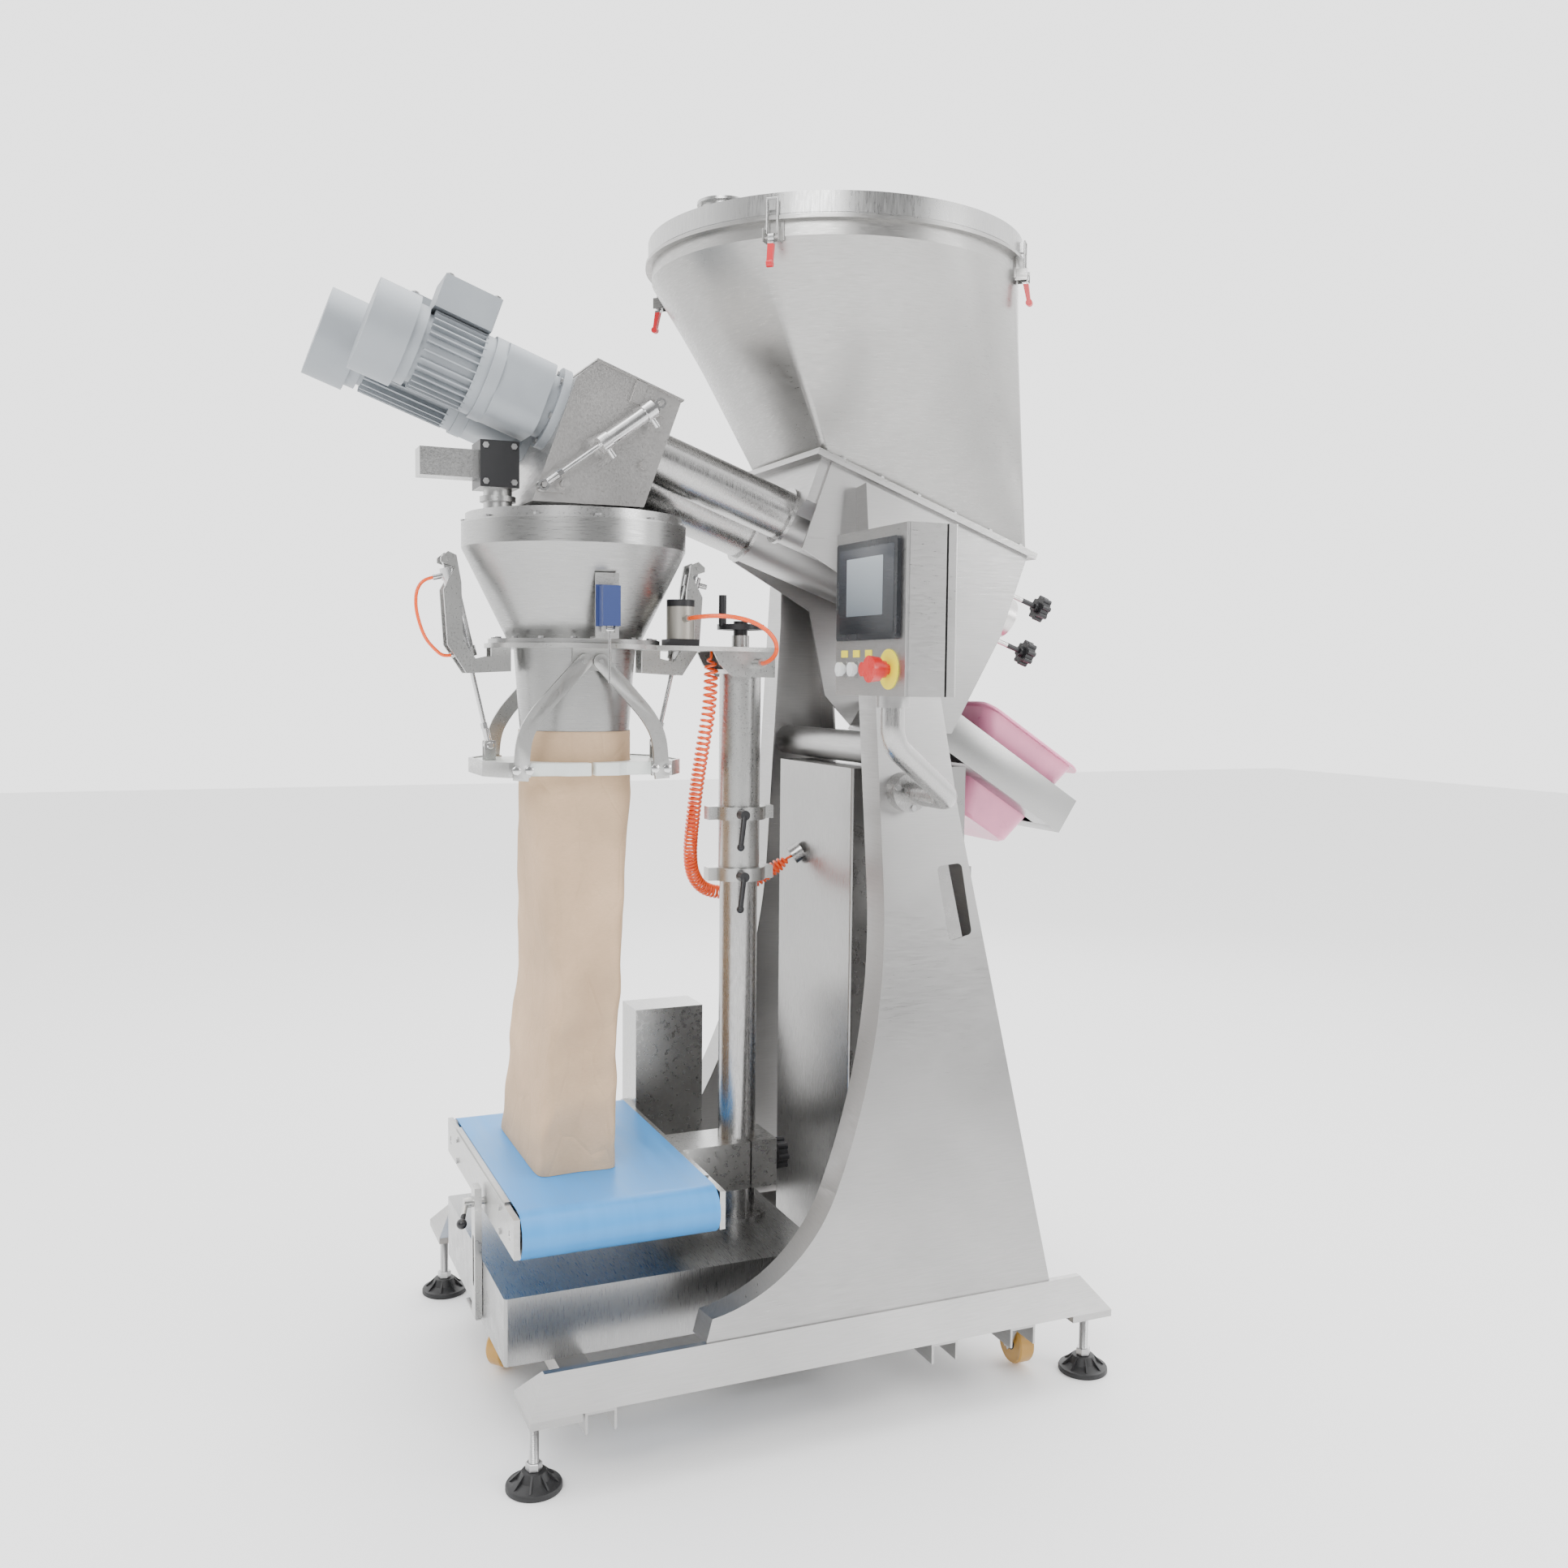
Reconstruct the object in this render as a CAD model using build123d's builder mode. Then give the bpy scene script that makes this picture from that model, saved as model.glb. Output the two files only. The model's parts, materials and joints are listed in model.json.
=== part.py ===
"""Open-mouth bag filling machine with a twin auger feeder, a pneumatic bag clamp and a belt conveyor.

Frame: origin on the floor at the centre of the four levelling feet, +Z up, +X to the machine's rear,
+Y to the operator's left as the operator faces the machine from the -X side.  Millimetres.
"""
from build123d import *
import os
from math import atan2, cos, degrees, hypot, pi, radians, sin, sqrt, tan

os.makedirs("parts", exist_ok=True)

# ---------------------------------------------------------------- driving dimensions
# feet and base frame
FOOT_X = 506.0               # half the foot spacing along the machine
FOOT_Y = 385.0               # half the foot spacing across the machine
FOOT_PAD_R = 44.0
FOOT_PAD_RIM = 9.0
FOOT_PAD_HEIGHT = 29.0
ANCHOR_HOLE_R = 4.5
ANCHOR_OFFSET = 31.0         # anchor hole to stud axis
STUD_R = 8.0
NUT_R = 13.0
NUT_HEIGHT = 13.0
FRAME_BOTTOM = 120.0         # underside of the foot plates
FOOT_PLATE = 12.0
RAIL_Z = FRAME_BOTTOM + FOOT_PLATE
RAIL_HEIGHT = 48.0
RAIL_HALF_WIDTH = 55.0
RAIL_RIDGE_HALF = 6.0
RAIL_HALF_LENGTH = 525.0
RAIL_HIP = 34.0              # how far the ridge stops short of the rail's end
RAIL_SHEET = 4.0
BEAM_HEIGHT = 34.0
BEAM_WIDTH = 50.0
BEAM_WALL = 4.0
BEAM_XS = (-415.0, 185.0, 340.0)
# casters
WHEEL_R = 37.5
WHEEL_WIDTH = 30.0
WHEEL_CLEARANCE = 6.0        # wheel above the floor while the feet carry the machine
CASTER_TRAIL = 24.0
CASTER_SPOTS = ((-482.0, 0.0, -50.0), (405.0, -345.0, 0.0), (405.0, 345.0, 0.0))
AXLE_R = 5.0
RUNNING = 0.05               # radial clearance of a running fit
# base box that carries the column
BOX_X0 = -522.0
BOX_X1 = 45.0
BOX_HALF_Y = 251.0
BOX_TOP = 245.0
BOX_SHEET = 3.0
# leaning side panels
LEAN = 7.3                   # degrees, each panel towards the machine's centre plane
PANEL_DEPTH = 66.0
PANEL_SHEET = 4.0
PANEL_FRONT_X = 130.0
PANEL_TOP_REAR_X = 217.0
PANEL_FOOT_FRONT_X = -225.0
PANEL_FOOT_REAR_X = 428.0
CROSS_TUBE_R = 30.0
CROSS_TUBE_X = 190.0
CROSS_TUBE_Z = 1122.0
# cabinet
CABINET_X0 = 130.0
CABINET_X1 = 365.0
CABINET_HALF_Y = 166.0
CABINET_TOP = 1088.0
CABINET_SHEET = 2.5
DOOR_TOP = 900.0
DOOR_HINGE_R = 5.0
DOOR_HINGE_SPAN = 44.0
DOOR_THICKNESS = 16.0
HOSE_GLAND_BASE = (131.0, 55.4, 916.6)
HOSE_GLAND_TIP = (112.0, 60.5, 903.6)
# feeder: a tilted twin screw set
FEED_TILT = 20.0
FEED_X = -60.0               # reference point on the screw axes
FEED_Z = 1571.0
FINE_Y = -85.0
FINE_TUBE_R = 44.5
FINE_SHAFT_R = 13.0
FINE_PITCH = 78.0
COARSE_Y = 88.0
COARSE_TUBE_R = 66.5
COARSE_SHAFT_R = 17.0
COARSE_PITCH = 110.0
TUBE_WALL = 3.0
SCREW_CLEARANCE = 1.5
FLIGHT = 3.0
CHUTE_U0 = -355.0            # chute faces along the screw axis
CHUTE_U1 = -177.0
CHUTE_TOP = 86.0
CHUTE_HALF_Y = 162.0
CHUTE_SHEET = 3.0
CHUTE_MOUTH_Z = 1532.0
TUBE_INTO_CHUTE = 25.0
TROUGH_U0 = 92.0
TROUGH_U1 = 545.0
TROUGH_TOP = 108.0
TROUGH_HALF_Y = 165.0
TROUGH_SHEET = 3.0
FLANGE = 6.0
FLANGE_LIP = 14.0
# hopper
HOPPER_X = 160.0
HOPPER_R = 340.0
HOPPER_WALL = 3.0
HOPPER_RIM_Z = 2004.0
HOPPER_BAND = 30.0
RIM_LIP = 12.0
GASKET = 4.0
LID_HEIGHT = 34.0
LID_SHEET = 3.0
PORT_R = 40.0
PORT_BORE_R = 37.5
PORT_HEIGHT = 38.0
TOGGLE_START = -132.0
# gearmotors
MOTOR_R = 66.0
FAN_COVER_R = 76.0
# column and filling head
COLUMN_X = -35.0
COLUMN_Y = -30.0
COLUMN_OUTER_R = 38.0
COLUMN_INNER_R = 35.0
COLUMN_TOP = 1256.0
COLUMN_SPLIT = 878.0
COLUMN_INNER_TOP = 1180.0
COLLAR_R = 49.0
COLLAR_HEIGHT = 24.0
COLLAR_ZS = (1002.0, 890.0)
HEAD_X = -338.0              # axis of cone, spout and clamp
CONE_R = 195.0
CONE_THROAT_R = 115.0
CONE_TOP = 1508.0
CONE_BAND = 40.0
CONE_WALL = 3.0
DECK_Z = 1296.0
DECK = 8.0
DECK_R = 157.0
SPOUT_TOP_R = 107.0
SPOUT_END_R = 90.0
SPOUT_END = 1072.0
# bag clamp
CLAMP_PIVOT_Z = 1274.0
CLAMP_ARM_Y = 118.0
CLAMP_ARM = 6.0
CLAMP_ARM_WIDTH = 26.0
JAW_Z = 1078.0
JAW_HEIGHT = 26.0
JAW_REACH = 170.0
CLEVIS_OFFSET = 152.0
CLEVIS_Z = 1128.0
TRUNNION_OFFSET = 224.0
TRUNNION_Z = 1445.0
CYLINDER_R = 12.5
ROD_R = 4.0
PIN_R = 4.0
# conveyor
BELT_X0 = -505.0
BELT_X1 = -172.0
ROLLER_R = 38.0
BELT = 1.7
BELT_GAP = 0.3
BELT_TOP = 398.0
TAIL_Y = -270.0
DRIVE_Y = 240.0
SIDE_PLATE = 10.0
BLOCK_X1 = 27.0
BLOCK_Z0 = 305.0
BLOCK_Z1 = 393.0
BLOCK_HALF_Y = 48.0
# bag
BAG_TOP = 1156.0
BAG_NECK_R = 98.0
BAG_BOTTOM_X = 146.0
BAG_BOTTOM_Y = 322.0
BAG_CLEARANCE = 0.3
# pendant
PENDANT_X0 = -20.0
PENDANT_X1 = 64.0
PENDANT_Y0 = -645.0
PENDANT_Y1 = -404.0
PENDANT_Z0 = 1224.0
PENDANT_Z1 = 1476.0
PENDANT_TUBE_R = 19.0
HUB_X = 176.0
HUB_Z = 1054.0

CENTRED = (Align.CENTER, Align.CENTER, Align.MIN)
BELT_AXIS_Z = BELT_TOP - BELT - BELT_GAP - ROLLER_R
TILT_C = cos(radians(FEED_TILT))
TILT_S = sin(radians(FEED_TILT))


# ---------------------------------------------------------------- small helpers
def block(low, high, mode=Mode.ADD):
    """An upright box between two corners."""
    centre = [(a + b) / 2 for a, b in zip(low, high)]
    with Locations(tuple(centre)):
        Box(high[0] - low[0], high[1] - low[1], high[2] - low[2], mode=mode)


def rod(start, end, radius, mode=Mode.ADD):
    """A round bar from start to end."""
    run = Vector(*end) - Vector(*start)
    with Locations(Plane(origin=start, z_dir=run.normalized())):
        Cylinder(radius, run.length, align=CENTRED, mode=mode)


def pipe(start, end, radius, bore):
    """A round tube from start to end."""
    rod(start, end, radius)
    rod(start, end, bore, Mode.SUBTRACT)


def tapered(start, end, radius0, radius1, mode=Mode.ADD):
    """A round cone frustum from start to end."""
    run = Vector(*end) - Vector(*start)
    with Locations(Plane(origin=start, z_dir=run.normalized())):
        Cone(radius0, radius1, run.length, align=CENTRED, mode=mode)


def hexagon(start, end, radius):
    """A hexagon nut or bolt head from start to end."""
    run = Vector(*end) - Vector(*start)
    with BuildSketch(Plane(origin=start, z_dir=run.normalized())) as nut:
        RegularPolygon(radius, 6)
    extrude(nut.sketch, amount=run.length)


def feed(u, y, v):
    """A point given along the screw axes, across them and square to them."""
    return (FEED_X + u * TILT_C + v * TILT_S, y, FEED_Z - u * TILT_S + v * TILT_C)


def feed_side(y):
    """The plane of a chute or trough side, with x down the screws and y square to them."""
    return Plane(origin=feed(0, y, 0), x_dir=(TILT_C, 0, -TILT_S), z_dir=(0, -1, 0))


def feed_section(u):
    """The plane across the screws at u, with x to +Y."""
    return Plane(origin=feed(u, 0, 0), x_dir=(0, 1, 0), z_dir=(TILT_C, 0, -TILT_S))


def save(builder, label):
    """Labels a finished piece and writes it."""
    builder.part.label = label
    export_step(builder.part, "parts/" + label + ".step")


# ---------------------------------------------------------------- base frame
def hipped(inset, z0, z1):
    """A hipped ridge shape, smaller by inset on every side."""
    with BuildSketch(Plane.XY.offset(z0)) as eaves:
        Rectangle(2 * (RAIL_HALF_LENGTH - inset), 2 * (RAIL_HALF_WIDTH - inset))
    with BuildSketch(Plane.XY.offset(z1)) as ridge:
        Rectangle(2 * (RAIL_HALF_LENGTH - RAIL_HIP - inset), 2 * max(RAIL_RIDGE_HALF - inset / 2, 1))
    return Solid.make_loft([eaves.sketch.faces()[0].outer_wire(), ridge.sketch.faces()[0].outer_wire()])


rail_shell = hipped(0, RAIL_Z, RAIL_Z + RAIL_HEIGHT) - hipped(RAIL_SHEET, RAIL_Z, RAIL_Z + RAIL_HEIGHT - RAIL_SHEET)

with BuildPart() as base_frame:
    for side in (-1, 1):
        add(rail_shell.moved(Location((0, side * FOOT_Y, 0))))
        for end in (-1, 1):
            x = end * FOOT_X
            inner = x - end * 62
            outer = end * RAIL_HALF_LENGTH
            block((min(inner, outer), side * FOOT_Y - RAIL_HALF_WIDTH, FRAME_BOTTOM),
                  (max(inner, outer), side * FOOT_Y + RAIL_HALF_WIDTH, RAIL_Z))
            rod((x, side * FOOT_Y, FRAME_BOTTOM), (x, side * FOOT_Y, RAIL_Z), STUD_R + RUNNING, Mode.SUBTRACT)
    for x in BEAM_XS:
        reach = FOOT_Y + RAIL_HALF_WIDTH
        block((x - BEAM_WIDTH / 2, -reach, RAIL_Z - BEAM_HEIGHT), (x + BEAM_WIDTH / 2, reach, RAIL_Z))
        block((x - BEAM_WIDTH / 2 + BEAM_WALL, -reach, RAIL_Z - BEAM_HEIGHT),
              (x + BEAM_WIDTH / 2 - BEAM_WALL, reach, RAIL_Z - BEAM_WALL), Mode.SUBTRACT)
    for x, y, turn in CASTER_SPOTS:
        block((x - 45, y - 45, RAIL_Z - BEAM_WALL - 4), (x + 60 if x > 0 else x + 70, y + 45, RAIL_Z - BEAM_WALL))
        rod((x, y, RAIL_Z - BEAM_WALL - 4), (x, y, RAIL_Z - BEAM_WALL), 8 + RUNNING, Mode.SUBTRACT)
save(base_frame, "base_frame")

# ---------------------------------------------------------------- levelling feet
with BuildPart() as levelling_feet:
    for x in (-FOOT_X, FOOT_X):
        for y in (-FOOT_Y, FOOT_Y):
            rod((x, y, 0), (x, y, FOOT_PAD_RIM), FOOT_PAD_R)
            tapered((x, y, FOOT_PAD_RIM), (x, y, FOOT_PAD_HEIGHT), FOOT_PAD_R - 16, 17)
            for side in (-1, 1):
                spot = x + side * ANCHOR_OFFSET
                rod((spot, y, 0), (spot, y, FOOT_PAD_HEIGHT), ANCHOR_HOLE_R, Mode.SUBTRACT)
            rod((x, y, FOOT_PAD_HEIGHT), (x, y, RAIL_Z + 4), STUD_R)
            hexagon((x, y, FOOT_PAD_HEIGHT), (x, y, FOOT_PAD_HEIGHT + NUT_HEIGHT), NUT_R)
            hexagon((x, y, FRAME_BOTTOM - NUT_HEIGHT), (x, y, FRAME_BOTTOM), NUT_R)
save(levelling_feet, "levelling_feet")

# ---------------------------------------------------------------- casters
SWIVEL_TOP = RAIL_Z - BEAM_WALL - 4.3
WHEEL_Z = WHEEL_CLEARANCE + WHEEL_R
FORK_HALF = WHEEL_WIDTH / 2 + 2


def caster(number, x, y, turn):
    """A swivel fork with its wheel; turn is the direction of the wheel's axle, in degrees from +X."""
    across = Vector(cos(radians(turn)), sin(radians(turn)), 0)
    trail = Vector(-across.Y, across.X, 0) * CASTER_TRAIL
    hub = Vector(x, y, WHEEL_Z) + trail
    crown = Plane(origin=(x, y, SWIVEL_TOP), x_dir=tuple(across), z_dir=(0, 0, 1))
    with BuildPart() as fork:
        with BuildSketch(crown):
            Circle(30)
        extrude(amount=-9)
        for side in (-1, 1):
            foot = crown.offset(-7) * Location((side * (FORK_HALF + 1.5), 0, 0))
            with BuildSketch(Plane(foot.position, x_dir=(0, 0, -1), z_dir=tuple(across))) as leg:
                with BuildLine():
                    Polyline((0, -20), (0, 20), (SWIVEL_TOP - 7 - WHEEL_Z, CASTER_TRAIL + 11),
                             (SWIVEL_TOP + 6 - WHEEL_Z, CASTER_TRAIL), (SWIVEL_TOP - 7 - WHEEL_Z, CASTER_TRAIL - 13),
                             (0, -20))
                make_face()
            extrude(leg.sketch, amount=1.5, both=True)
        rod((x, y, SWIVEL_TOP), (x, y, RAIL_Z - BEAM_WALL), 8)
        rod(tuple(hub - across * (FORK_HALF + 8)), tuple(hub + across * (FORK_HALF + 8)), AXLE_R)
    save(fork, "caster_fork_%d" % number)
    with BuildPart() as wheel:
        rod(tuple(hub - across * WHEEL_WIDTH / 2), tuple(hub + across * WHEEL_WIDTH / 2), WHEEL_R)
        rod(tuple(hub - across * WHEEL_WIDTH / 2), tuple(hub + across * WHEEL_WIDTH / 2), AXLE_R + RUNNING,
            Mode.SUBTRACT)
        fillet(wheel.edges().filter_by(GeomType.CIRCLE).sort_by(lambda edge: edge.radius)[-2:], 5)
    save(wheel, "caster_wheel_%d" % number)


for number, (x, y, turn) in enumerate(CASTER_SPOTS, 1):
    caster(number, x, y, turn)

# ---------------------------------------------------------------- base box and fixed column tube
with BuildPart() as base_box:
    block((BOX_X0, -BOX_HALF_Y, RAIL_Z), (BOX_X1, BOX_HALF_Y, BOX_TOP))
    fillet(base_box.edges().filter_by(Axis.Z), 6)
    block((BOX_X0 + BOX_SHEET, -BOX_HALF_Y + BOX_SHEET, RAIL_Z),
          (BOX_X1 - BOX_SHEET, BOX_HALF_Y - BOX_SHEET, BOX_TOP - BOX_SHEET), Mode.SUBTRACT)
save(base_box, "base_box")

with BuildPart() as column_inner:
    pipe((COLUMN_X, COLUMN_Y, BOX_TOP), (COLUMN_X, COLUMN_Y, COLUMN_INNER_TOP), COLUMN_INNER_R,
         COLUMN_INNER_R - 4)
    with BuildSketch(Plane.XY.offset(BOX_TOP)):
        with Locations((COLUMN_X, COLUMN_Y)):
            Circle(COLUMN_INNER_R + 22)
            Circle(COLUMN_INNER_R - 4, mode=Mode.SUBTRACT)
            with PolarLocations(COLUMN_INNER_R + 12, 4, start_angle=45):
                Circle(4, mode=Mode.SUBTRACT)
    extrude(amount=8)
save(column_inner, "column_inner")

# ---------------------------------------------------------------- leaning side panels and cross tube
LEAN_R = radians(LEAN)
PANEL_BASE_Z = RAIL_Z + RAIL_HEIGHT


def panel_plane(side):
    """The outer face of a side panel, with x to the rear and y up the slope."""
    if side < 0:
        return Plane(origin=(0, -FOOT_Y - PANEL_SHEET / 2, PANEL_BASE_Z), x_dir=(1, 0, 0),
                     z_dir=(0, -cos(LEAN_R), sin(LEAN_R)))
    return Plane(origin=(0, FOOT_Y + PANEL_SHEET / 2, PANEL_BASE_Z), x_dir=(-1, 0, 0),
                 z_dir=(0, cos(LEAN_R), sin(LEAN_R)))


def panel_outline(flip):
    """The outline of a side panel: a toe that sweeps up into a straight post."""
    with BuildLine() as line:
        toe = Line((flip * PANEL_FOOT_REAR_X, 0), (flip * PANEL_FOOT_FRONT_X, 0))
        nose = Line(toe @ 1, (flip * (PANEL_FOOT_FRONT_X + 12), 36))
        back = Line(toe @ 0, (flip * 285, 843))
        slope = Line(back @ 1, (flip * PANEL_TOP_REAR_X, 1390))
        top = Line(slope @ 1, (flip * PANEL_FRONT_X, 1424))
        post = Line(top @ 1, (flip * PANEL_FRONT_X, 720))
        upper = TangentArc(post @ 1, (flip * 16, 207), tangent=(0, -1))
        TangentArc(upper @ 1, nose @ 1, tangent=upper % 1)
    return line.line


def side_panel(side):
    """A pan with its mouth towards the machine, its hand hole and its hub hole."""
    flip = -side
    plane = panel_plane(side)
    with BuildPart() as pan:
        with BuildSketch(plane) as outside:
            add(panel_outline(flip))
            make_face()
        extrude(outside.sketch, amount=-PANEL_DEPTH)
        with BuildSketch(plane.offset(-PANEL_SHEET)) as inside:
            add(panel_outline(flip))
            make_face()
            offset(amount=-PANEL_SHEET, kind=Kind.INTERSECTION, mode=Mode.REPLACE)
        extrude(inside.sketch, amount=-PANEL_DEPTH, mode=Mode.SUBTRACT)
        with BuildSketch(plane) as hand_hole:
            with BuildLine():
                FilletPolyline((flip * 236, 748), (flip * 286, 752), (flip * 301, 626), (flip * 254, 615), radius=9,
                               close=True)
            make_face()
        extrude(hand_hole.sketch, amount=-PANEL_SHEET, mode=Mode.SUBTRACT)
        block((0, -TROUGH_HALF_Y - PANEL_SHEET, 1110), (600, TROUGH_HALF_Y + PANEL_SHEET, 1800), Mode.SUBTRACT)
        ridge = hipped(0, RAIL_Z, PANEL_BASE_Z)
        add(ridge.moved(Location((0, side * FOOT_Y, 0))), mode=Mode.SUBTRACT)
    return pan.part


def panel_y(z):
    """How far the panels' inner sheet face lies from the centre plane at height z."""
    return FOOT_Y - (z - PANEL_BASE_Z) * tan(LEAN_R) - PANEL_SHEET * 0.5 / cos(LEAN_R)


tube_reach = panel_y(CROSS_TUBE_Z) - 1
with BuildPart() as side_frame:
    for side in (-1, 1):
        add(side_panel(side))
    pipe((CROSS_TUBE_X, -tube_reach, CROSS_TUBE_Z), (CROSS_TUBE_X, tube_reach, CROSS_TUBE_Z), CROSS_TUBE_R,
         CROSS_TUBE_R - 3)
save(side_frame, "side_frame")

# ---------------------------------------------------------------- cabinet
DOOR_X0 = CABINET_X1 + 0.5
DOOR_HINGES = (RAIL_Z + 70, (RAIL_Z + DOOR_TOP) / 2, DOOR_TOP - 70 - DOOR_HINGE_SPAN)
with BuildPart() as cabinet_shell:
    block((CABINET_X0, -CABINET_HALF_Y, RAIL_Z), (CABINET_X1, CABINET_HALF_Y, CABINET_TOP))
    fillet(cabinet_shell.edges().filter_by(Axis.Z).group_by(Axis.X)[0], 5)
    block((CABINET_X0 + CABINET_SHEET, -CABINET_HALF_Y + CABINET_SHEET, RAIL_Z + CABINET_SHEET),
          (CABINET_X1, CABINET_HALF_Y - CABINET_SHEET, CABINET_TOP - CABINET_SHEET), Mode.SUBTRACT)
    block((CABINET_X0 + 22, -CABINET_HALF_Y + 24, RAIL_Z + 60),
          (CABINET_X0 + 25, CABINET_HALF_Y - 24, CABINET_TOP - 60))
    for y in (-110, 110):
        for z in (RAIL_Z + 120, CABINET_TOP - 120):
            rod((CABINET_X0 + CABINET_SHEET, y, z), (CABINET_X0 + 22, y, z), 6)
    rod(HOSE_GLAND_BASE, HOSE_GLAND_TIP, 18)
    block((CABINET_X1 - CABINET_SHEET, -CABINET_HALF_Y + CABINET_SHEET, DOOR_TOP - 12),
          (CABINET_X1, CABINET_HALF_Y - CABINET_SHEET, CABINET_TOP - CABINET_SHEET))
    for z in DOOR_HINGES:
        block((CABINET_X1 - 22, CABINET_HALF_Y, z), (CABINET_X1, CABINET_HALF_Y + CABINET_SHEET, z + DOOR_HINGE_SPAN))
        block((CABINET_X1 - 2, CABINET_HALF_Y + 0.4, z),
              (DOOR_X0 + DOOR_THICKNESS - DOOR_HINGE_R - 0.6, CABINET_HALF_Y + CABINET_SHEET, z + DOOR_HINGE_SPAN))
save(cabinet_shell, "cabinet_shell")

with BuildPart() as cabinet_door:
    block((DOOR_X0, -CABINET_HALF_Y, RAIL_Z + 4), (DOOR_X0 + DOOR_THICKNESS, CABINET_HALF_Y, DOOR_TOP))
    block((DOOR_X0, -CABINET_HALF_Y + CABINET_SHEET, RAIL_Z + 4 + CABINET_SHEET),
          (DOOR_X0 + DOOR_THICKNESS - CABINET_SHEET, CABINET_HALF_Y - CABINET_SHEET,
           DOOR_TOP - CABINET_SHEET), Mode.SUBTRACT)
    for z in DOOR_HINGES:
        rod((DOOR_X0 + DOOR_THICKNESS, CABINET_HALF_Y, z),
            (DOOR_X0 + DOOR_THICKNESS, CABINET_HALF_Y, z + DOOR_HINGE_SPAN), DOOR_HINGE_R)
    for z in (420.0, 780.0):
        rod((DOOR_X0 + DOOR_THICKNESS, -CABINET_HALF_Y + 26, z),
            (DOOR_X0 + DOOR_THICKNESS + 7, -CABINET_HALF_Y + 26, z), 14)
save(cabinet_door, "cabinet_door")

# ---------------------------------------------------------------- feeder tubes, trough and screws
SCREWS = ((FINE_Y, FINE_TUBE_R, FINE_SHAFT_R, FINE_PITCH), (COARSE_Y, COARSE_TUBE_R, COARSE_SHAFT_R, COARSE_PITCH))
TUBE_U0 = CHUTE_U1 - TUBE_INTO_CHUTE

with BuildPart() as screw_tubes:
    for y, radius, shaft_r, pitch in SCREWS:
        pipe(feed(TUBE_U0, y, 0), feed(TROUGH_U0, y, 0), radius, radius - TUBE_WALL)
        pipe(feed(CHUTE_U1, y, 0), feed(CHUTE_U1 + 5, y, 0), radius + 5, radius - TUBE_WALL)
        pipe(feed(TROUGH_U0 - 6, y, 0), feed(TROUGH_U0, y, 0), radius + 8, radius - TUBE_WALL)
save(screw_tubes, "screw_tubes")


with BuildPart() as feeder_trough:
    with BuildSketch(feed_section(TROUGH_U0)) as outer_section:
        with BuildLine():
            Polyline((-TROUGH_HALF_Y, TROUGH_TOP), (TROUGH_HALF_Y, TROUGH_TOP), (TROUGH_HALF_Y, 24),
                     (COARSE_Y + COARSE_TUBE_R + TROUGH_SHEET, 0), (FINE_Y - FINE_TUBE_R - TROUGH_SHEET, 0),
                     (-TROUGH_HALF_Y, 24), (-TROUGH_HALF_Y, TROUGH_TOP))
        make_face()
        for y, radius, shaft_r, pitch in SCREWS:
            with Locations((y, 0)):
                Circle(radius + TROUGH_SHEET)
    extrude(amount=TROUGH_U1 - TROUGH_U0)
    with BuildSketch(feed_section(TROUGH_U0 + TROUGH_SHEET)) as inner_section:
        with BuildLine():
            Polyline((-TROUGH_HALF_Y + TROUGH_SHEET, TROUGH_TOP), (TROUGH_HALF_Y - TROUGH_SHEET, TROUGH_TOP),
                     (TROUGH_HALF_Y - TROUGH_SHEET, 26), (COARSE_Y + COARSE_TUBE_R, 3), (FINE_Y - FINE_TUBE_R, 3),
                     (-TROUGH_HALF_Y + TROUGH_SHEET, 26), (-TROUGH_HALF_Y + TROUGH_SHEET, TROUGH_TOP))
        make_face()
        for y, radius, shaft_r, pitch in SCREWS:
            with Locations((y, 0)):
                Circle(radius)
    extrude(amount=TROUGH_U1 - TROUGH_U0 - 2 * TROUGH_SHEET, mode=Mode.SUBTRACT)
    for y, radius, shaft_r, pitch in SCREWS:
        rod(feed(TROUGH_U0 - 1, y, 0), feed(TROUGH_U0 + TROUGH_SHEET + 1, y, 0), radius - TUBE_WALL, Mode.SUBTRACT)
        rod(feed(TROUGH_U1 - TROUGH_SHEET - 1, y, 0), feed(TROUGH_U1 + 1, y, 0), shaft_r + RUNNING, Mode.SUBTRACT)
    with BuildSketch(Plane(origin=feed(0, 0, TROUGH_TOP - FLANGE), x_dir=(TILT_C, 0, -TILT_S),
                           z_dir=(TILT_S, 0, TILT_C))) as lip:
        with Locations(((TROUGH_U0 + TROUGH_U1) / 2, 0)):
            Rectangle(TROUGH_U1 - TROUGH_U0 + 2 * FLANGE_LIP, 2 * (TROUGH_HALF_Y + FLANGE_LIP))
            Rectangle(TROUGH_U1 - TROUGH_U0 - TROUGH_SHEET, 2 * (TROUGH_HALF_Y - TROUGH_SHEET), mode=Mode.SUBTRACT)
    extrude(lip.sketch, amount=FLANGE)
    for side in (-1, 1):
        wall_y = TROUGH_HALF_Y if side > 0 else -TROUGH_HALF_Y - PANEL_SHEET
        with BuildSketch(feed_side(wall_y + PANEL_SHEET)) as cheek:
            with BuildLine():
                Polyline((TROUGH_U0 + 20, TROUGH_TOP - FLANGE), (TROUGH_U1, TROUGH_TOP - FLANGE),
                         (TROUGH_U1, -60), (512, -262), (470, -275), (392, -236), (300, -90),
                         (TROUGH_U0 + 20, -60), (TROUGH_U0 + 20, TROUGH_TOP - FLANGE))
            make_face()
        extrude(cheek.sketch, amount=PANEL_SHEET)
save(feeder_trough, "feeder_trough")

SCREW_U0 = CHUTE_U0 - 40
SCREW_U1 = TROUGH_U1 + 22


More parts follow.
